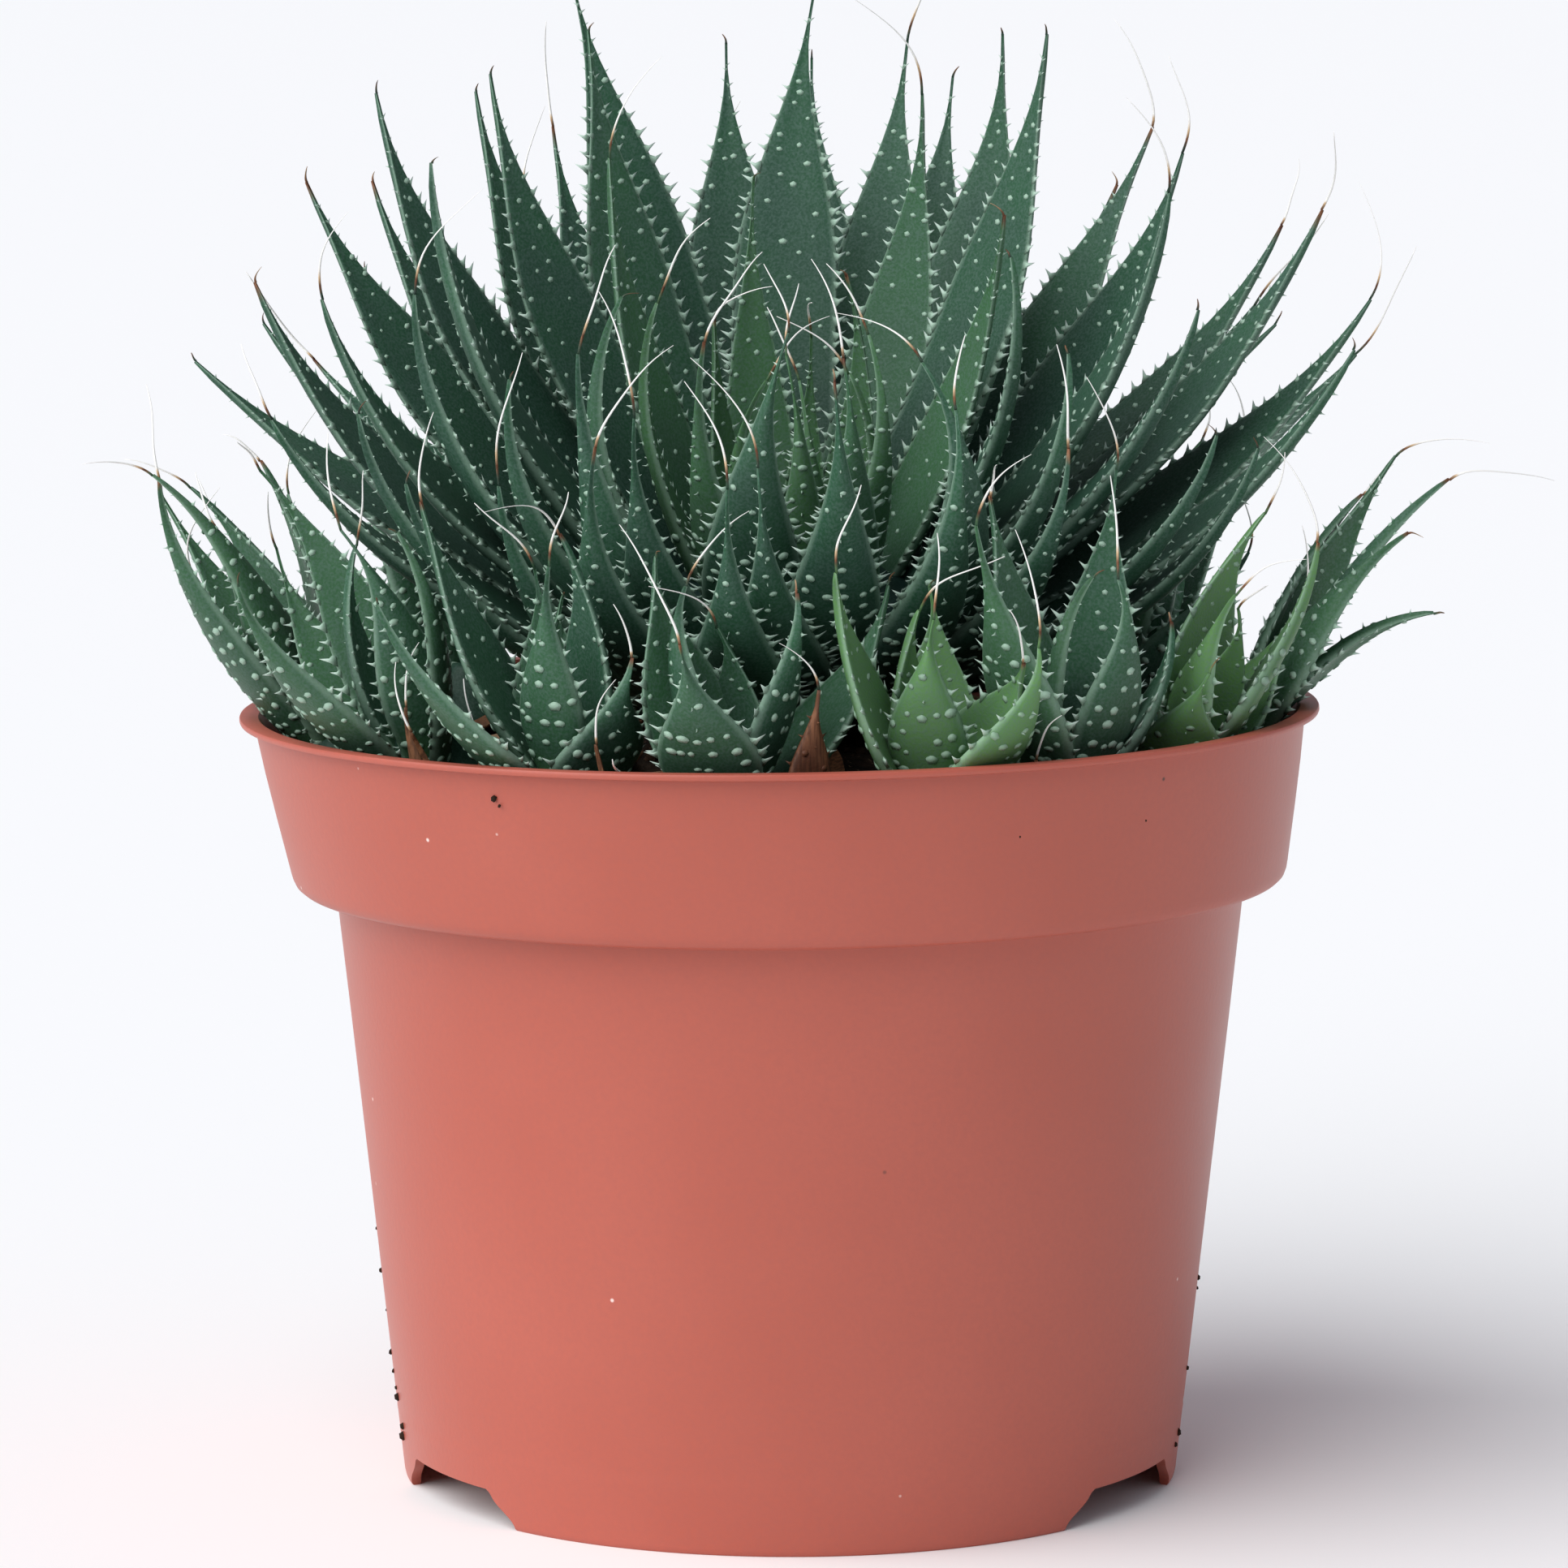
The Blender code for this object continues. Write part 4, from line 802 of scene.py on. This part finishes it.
main_matrix = bent_out(0.0, MAIN_PLACE, MAIN_LEAN)
draw = random.Random(MAIN_SEED)
main_leaves = []
for i in range(MAIN_LEAVES):
    age = i / (MAIN_LEAVES - 1)
    azimuth = (MAIN_FIRST_AZIMUTH + i * GOLDEN_ANGLE + draw.uniform(-5.0, 5.0)) % 360.0
    grown = float(smoothstep(0.0, GROWN_AGE, age))
    facing = float(smoothstep(*FACING, math.cos(math.radians(azimuth))))
    sideways = math.sin(math.radians(azimuth)) ** 2
    tilt = MAIN_TILT[0] + MAIN_TILT[1] * age ** MAIN_TILT[2] + draw.uniform(-3.0, 3.0)
    curl = draw.uniform(*MAIN_CURL) + MAIN_CURL_FRONT * facing * grown
    gain = MAIN_LENGTH[1] - MAIN_SHORTER[0] * facing - MAIN_SHORTER[1] * sideways
    leaf = {
        "age": age,
        "root": outward(azimuth) * (MAIN_ROOT[0] + MAIN_ROOT[1] * age) * MM,
        "azimuth": azimuth,
        "tilt_root": min(STEEPEST_ROOT, tilt + curl / 2.0),
        "tilt_tip": tilt - curl / 2.0,
        "length": (MAIN_LENGTH[0] + gain * grown) * draw.uniform(0.94, 1.05),
        "width": (MAIN_WIDTH[0] + MAIN_WIDTH[1] * grown) * draw.uniform(0.92, 1.08),
        "depth": MAIN_DEPTH[0] + MAIN_DEPTH[1] * grown,
        "bend": draw.uniform(-0.07, 0.07),
        "twist": draw.uniform(-14.0, 14.0),
        "awn": draw.uniform(*MAIN_AWN) if draw.random() < MAIN_AWN_CHANCE else 0.0,
        "awn_curl": draw.uniform(0.2, 0.8),
        "awn_sway": draw.uniform(-0.7, 0.7),
        "hook": 1.2 + 1.4 * facing,
        "facing": facing,
    }
    if has_room(leaf, main_matrix):
        main_leaves.append(leaf)

draw = random.Random(MAIN_DRESS_SEED)
heaps = [new_heap() for _ in MAIN_PIECES]
# The main stem, deep in the rosette, is given the shaded leaf colour outright as painted shade.
grow_core(heaps[-1], MAIN_CORE, Matrix.Translation(POT_AXIS), 0.0)
for i, leaf in enumerate(main_leaves):
    fresh = 1.0 - float(smoothstep(0.0, GROWN_AGE, leaf["age"]))
    leaf["hook"] *= draw.uniform(0.4, 1.6)
    leaf["stray"] = draw.uniform(-STRAY, STRAY)
    wanted = 0.50 * leaf["facing"] + 0.08 + 0.25 * fresh
    leaf["wisp"] = draw.uniform(*MAIN_WISP) if draw.random() < wanted else 0.0
    finish = (min(1.0, 0.75 * fresh + draw.uniform(0.0, 0.45)), 0.40 * fresh, 0.0, 0.0)
    grow_leaf(heaps[min(i // MAIN_PIECE_LEAVES, len(heaps) - 1)], leaf, main_matrix, draw, finish)
for name, heap in zip(MAIN_PIECES, heaps):
    made = heap_object(name, heap, skin)
    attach(made, "root")
    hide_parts("main_rosette")

# Offsets. Small rosettes that have come up round the large one and lean over the lip. Each leaf stands as
# its solid does: of the ways in which it may have been bent clear of its neighbours, the one whose tip and
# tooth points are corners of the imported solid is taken.
OFFSETS = (  # name, azimuth, distance, lean, leaves, leaf length, leaf width, seed
    ("offset_front", -8.0, 46.5, 4.0, 6, 27.0, 10.5, 11),
    ("offset_front_left", -30.0, 46.0, 4.0, 7, 34.0, 11.0, 12),
    ("offset_left_front", -57.0, 46.0, 18.0, 6, 36.0, 9.5, 13),
    ("offset_left", -84.0, 49.0, 34.0, 8, 36.0, 8.5, 51),
    ("offset_back_left", -128.0, 46.0, 28.0, 6, 36.0, 8.5, 15),
    ("offset_back", 178.0, 46.0, 22.0, 9, 36.0, 9.0, 16),
    ("offset_back_right", 131.0, 46.0, 28.0, 9, 36.0, 8.5, 17),
    ("offset_right", 84.0, 49.0, 60.0, 16, 36.0, 10.0, 36),
    ("offset_right_young", 60.0, 47.0, 30.0, 6, 29.0, 9.5, 19),
    ("offset_right_front", 39.0, 46.5, 12.0, 6, 35.0, 10.5, 21),
    ("offset_front_young", 18.0, 47.0, 6.0, 6, 27.0, 10.0, 20),
)
OFFSET_CORE = ((-9.0, 2.8), (0.4, 3.2), (2.5, 6.5), (9.0, 3.0))
BEND_TURNS = (0, -7, 7, -14, 14, -21, 21, 28, 35)
BEND_SHARES = (1.0, 0.8, 0.62)
SOLID_TEETH = 4
FIRST_TOOTH = 0.27
LAST_TOOTH = 0.95
SAME_PLACE = 0.03 * MM
OFFSET_TILT = (5.0, 40.0, 0.9)  # at the heart, what age adds, and the power of age
OFFSET_CURL = (10.0, 32.0)
HEART_SHARE = 0.66  # the heart leaf's size as a share of a grown one's
GROWN_AGES = (0.45, 0.5)  # ages at which a leaf has its whole length and its whole width
OFFSET_AWN_CHANCE = 0.4
OFFSET_AWN = (5.0, 10.0)
OFFSET_WISP = (4.0, 9.0)
OFFSET_STRAY = 1.8
TURN_BY_SEED = 47.0


def on_soil(azimuth, distance, lift=0.0):
    """A place on the soil, or lift millimetres over it."""
    place = POT_AXIS + outward(azimuth) * distance * MM
    place.z = (soil_height(distance) + lift) * MM
    return place


def solid_points(leaf):
    """Where the solid's coarse leaf has its tooth points, in its rosette's frame."""
    step = (LAST_TOOTH - FIRST_TOOTH) / SOLID_TEETH
    share = FIRST_TOOTH + (np.arange(SOLID_TEETH) + 0.6) * step
    points, _along, side, inner = leaf_line(dict(leaf, hook=0.0, stray=0.0), share)
    half = leaf_width(leaf, share, SOLID_TAPER_POWER) / 2.0
    tooth = np.minimum(1.3, 0.45 + half * 0.25)
    out = side * (half + tooth)[:, None]
    rise = inner * (0.2 * tooth)[:, None]
    return np.concatenate([points + (out * sign + rise) * MM for sign in (-1, 1)])


def as_in_solid(leaf, azimuth, place, lean, tree):
    """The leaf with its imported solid's bend, and its matrix; None where the solid has no such leaf."""
    best = (1, None)
    for share in BEND_SHARES:
        tried = dict(leaf, length=leaf["length"] * share, awn=leaf["awn"] * share)
        points = solid_points(tried)
        for turn in BEND_TURNS:
            matrix = bent_out(azimuth, place, lean + turn)
            found = sum(tree.find(matrix @ Vector(point))[2] < SAME_PLACE for point in points)
            if found > best[0]:
                best = (found, (tried, matrix))
    return best[1]


for name, azimuth, distance, lean, count, length, width, seed in OFFSETS:
    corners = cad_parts[name].data.vertices
    tree = KDTree(len(corners))
    for corner in corners:
        tree.insert(corner.co, corner.index)
    tree.balance()
    place = on_soil(azimuth, distance)
    is_young = name.endswith("young")
    draw = random.Random(seed)
    tint = random.Random(seed + 100)
    heap = new_heap()
    # The offset's stem is given the shaded leaf colour in part, as painted shade.
    grow_core(heap, OFFSET_CORE, Matrix.Translation(place), 0.4)
    for i in range(count):
        age = i / (count - 1)
        tilt = OFFSET_TILT[0] + OFFSET_TILT[1] * age ** OFFSET_TILT[2] + draw.uniform(-3.0, 3.0)
        curl = draw.uniform(*OFFSET_CURL)
        longer, wider = (
            HEART_SHARE + (1.0 - HEART_SHARE) * float(smoothstep(0.0, grown, age)) for grown in GROWN_AGES
        )
        leaf = {
            "azimuth": (seed * TURN_BY_SEED + i * GOLDEN_ANGLE + draw.uniform(-8.0, 8.0)) % 360.0,
            "tilt_root": tilt + curl / 2.0,
            "tilt_tip": tilt - curl / 2.0,
            "length": length * longer * draw.uniform(0.86, 1.10),
            "width": width * wider * draw.uniform(0.9, 1.1),
            "depth": 2.2,
            "bend": draw.uniform(-0.08, 0.08),
            "twist": draw.uniform(-16.0, 16.0),
            "awn": draw.uniform(*OFFSET_AWN) if draw.random() < OFFSET_AWN_CHANCE else 0.0,
            "awn_curl": draw.uniform(-0.1, 0.8),
            "awn_sway": draw.uniform(-0.7, 0.7),
            "hook": 1.2,
            "wisp": 0.0,
        }
        leaf["root"] = outward(leaf["azimuth"]) * 0.8 * MM
        leaf["root"].z = (4.0 - 2.0 * age) * MM
        found = as_in_solid(leaf, azimuth, place, lean, tree)
        if found:
            leaf, matrix = found
            leaf["stray"] = tint.uniform(-OFFSET_STRAY, OFFSET_STRAY)
            leaf["wisp"] = tint.uniform(*OFFSET_WISP) if tint.random() < OFFSET_AWN_CHANCE else 0.0
            finish = (tint.uniform(0.35, 0.95), 0.8 if is_young else tint.uniform(0.0, 0.2), 0.7, 0.0)
            grow_leaf(heap, leaf, matrix, tint, finish)
    made = heap_object(name + "_leaves", heap, skin)
    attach(made, "root")
    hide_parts(name)

# Dead leaf. One small leaf between the front offsets has dried out: thin, brown and still toothed, with its
# white bristle. It is grown by the same rule as the live ones, with less flesh.
DEAD_PLACE = (2.0, 52.0, 0.4)  # azimuth, distance and height over the soil
dead_leaf = {
    "root": Vector((0.0, 0.0, 0.0)),
    "azimuth": 20.0,
    "tilt_root": -4.0,
    "tilt_tip": 9.0,
    "length": 15.0,
    "width": 5.2,
    "depth": 0.9,
    "bend": 0.06,
    "twist": 20.0,
    "awn": 5.0,
    "awn_curl": 0.3,
    "awn_sway": -0.8,
    "hook": 0.0,
    "stray": 0.0,
    "wisp": 0.0,
}
place = on_soil(*DEAD_PLACE)
heap = new_heap()
grow_leaf(heap, dead_leaf, Matrix.Translation(place), random.Random(5), (0.3, 0.0, 0.0, 0.30))
dead = heap_object("dead_leaf", heap, skin)
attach(dead, "root")
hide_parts("dry_leaf")

# Dried bits. Old leaves from under the rosettes have shrivelled to thin curled scraps. Most lie on the peat,
# more of them at the back, and six with bristles stand against the lip along the front.
SCRAPS = 60
SCRAP_SPREAD = (20.0, 48.0)
RIM_SCRAPS = (  # azimuth, distance, height over the soil, length and width
    (-50.0, 51.5, 1.0, 10.5, 2.6), (-46.0, 52.0, 0.5, 9.5, 1.8), (-38.5, 51.5, 0.5, 10.5, 2.4),
    (-21.0, 52.0, 0.5, 9.0, 2.2), (-18.5, 52.5, 0.5, 8.0, 1.6), (30.0, 52.0, 0.5, 7.5, 1.8),
)
draw = random.Random(9)
heap = new_heap()
for i in range(SCRAPS):
    azimuth = draw.gauss(180.0, 75.0)
    distance = draw.uniform(*SCRAP_SPREAD)
    place = on_soil(azimuth, distance, draw.uniform(0.6, 1.8))
    tilt = draw.uniform(74.0, 92.0)
    scrap = {
        "root": Vector((0.0, 0.0, 0.0)),
        "azimuth": azimuth + draw.uniform(70.0, 290.0),
        "tilt_root": tilt,
        "tilt_tip": tilt + draw.uniform(-60.0, 15.0),
        "length": draw.uniform(9.0, 20.0),
        "width": draw.uniform(2.5, 6.0),
        "depth": draw.uniform(0.2, 0.6),
        "bend": draw.uniform(-0.3, 0.3),
        "twist": draw.uniform(-70.0, 70.0),
        "hook": draw.uniform(-1.0, 2.0),
        "stray": draw.uniform(-2.0, 2.0),
    }
    grow_blade(heap, scrap, Matrix.Translation(place), (0.3, 0.0, 0.0, draw.uniform(0.26, 0.50)))
for azimuth, distance, lift, length, width in RIM_SCRAPS:
    place = on_soil(azimuth, distance, lift)
    scrap = {
        "root": Vector((0.0, 0.0, 0.0)),
        "azimuth": azimuth + draw.uniform(-40.0, 40.0),
        "tilt_root": draw.uniform(-5.0, 12.0),
        "tilt_tip": draw.uniform(30.0, 55.0),
        "length": length,
        "width": width,
        "depth": 0.5,
        "bend": draw.uniform(-0.2, 0.2),
        "twist": draw.uniform(-60.0, 60.0),
        "hook": draw.uniform(-1.0, 1.0),
        "stray": draw.uniform(-1.0, 1.0),
        "awn": 0.0,
        "awn_curl": draw.uniform(-0.5, 0.8),
        "awn_sway": draw.uniform(-0.8, 0.8),
        "wisp": draw.uniform(3.5, 7.0),
    }
    finish = (0.3, 0.0, 0.0, draw.uniform(0.28, 0.36))
    grow_blade(heap, scrap, Matrix.Translation(place), finish)
    grow_bristle(heap, scrap, Matrix.Translation(place), draw, finish)
scraps = heap_object("dried_scraps", heap, skin)
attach(scraps, "root")

# Floor and light. A plain white floor under one large soft light from the front left, in a pale cool room
# that fills the shadows. Past the edge of the floor the room is seen as white as the floor is.
bpy.ops.mesh.primitive_plane_add(size=40.0)
floor = bpy.context.object
floor.name = "floor"
paper, node, mix, between, give = new_material("pale floor")
give("Base Color", (0.97, 0.97, 0.965, 1.0))
give("Roughness", 0.9)
floor.data.materials.append(paper)
KEY_AZIMUTH = -56.0
KEY_HEIGHT = 42.0
KEY_STRENGTH = 3.2
KEY_WIDTH = 75.0
ROOM_LIGHT = 0.37
ROOM_SEEN = 1.15
sun = bpy.data.lights.new("key", "SUN")
sun.energy = KEY_STRENGTH
sun.angle = math.radians(KEY_WIDTH)
stand = bpy.data.objects.new("key", sun)
to_key = outward(KEY_AZIMUTH) * math.cos(math.radians(KEY_HEIGHT))
to_key.z = math.sin(math.radians(KEY_HEIGHT))
stand.rotation_euler = to_key.to_track_quat("Z", "Y").to_euler()
bpy.context.scene.collection.objects.link(stand)
world = bpy.data.worlds.new("pale room")
world.use_nodes = True
room = world.node_tree.nodes["Background"]
room.inputs["Color"].default_value = (0.86, 0.89, 1.0, 1.0)
ray = world.node_tree.nodes.new("ShaderNodeLightPath")
strength = world.node_tree.nodes.new("ShaderNodeMapRange")
strength.inputs["To Min"].default_value = ROOM_LIGHT
strength.inputs["To Max"].default_value = ROOM_SEEN
world.node_tree.links.new(ray.outputs["Is Camera Ray"], strength.inputs["Value"])
world.node_tree.links.new(strength.outputs[0], room.inputs["Strength"])
bpy.context.scene.world = world
bpy.context.scene.view_settings.view_transform = "Standard"

# Camera. Solved from the ellipses of the pot's lip, collar and foot: 0.76 m away, looking down by 7.5
# degrees through a long lens.
CAMERA_PLACE = Vector((-0.0007, -0.760, 0.1778))  # from the pot's axis on the ground, in metres
CAMERA_DOWN = 7.51
CAMERA_LENS = 157.7
camera_data = bpy.data.cameras.new("camera")
camera_data.sensor_width = 36.0
camera_data.lens = CAMERA_LENS
camera_data.clip_start = 0.01
camera = bpy.data.objects.new("camera", camera_data)
camera.location = POT_AXIS + CAMERA_PLACE
camera.rotation_euler = (math.radians(90.0 - CAMERA_DOWN), 0.0, 0.0)
bpy.context.scene.collection.objects.link(camera)
bpy.context.scene.camera = camera
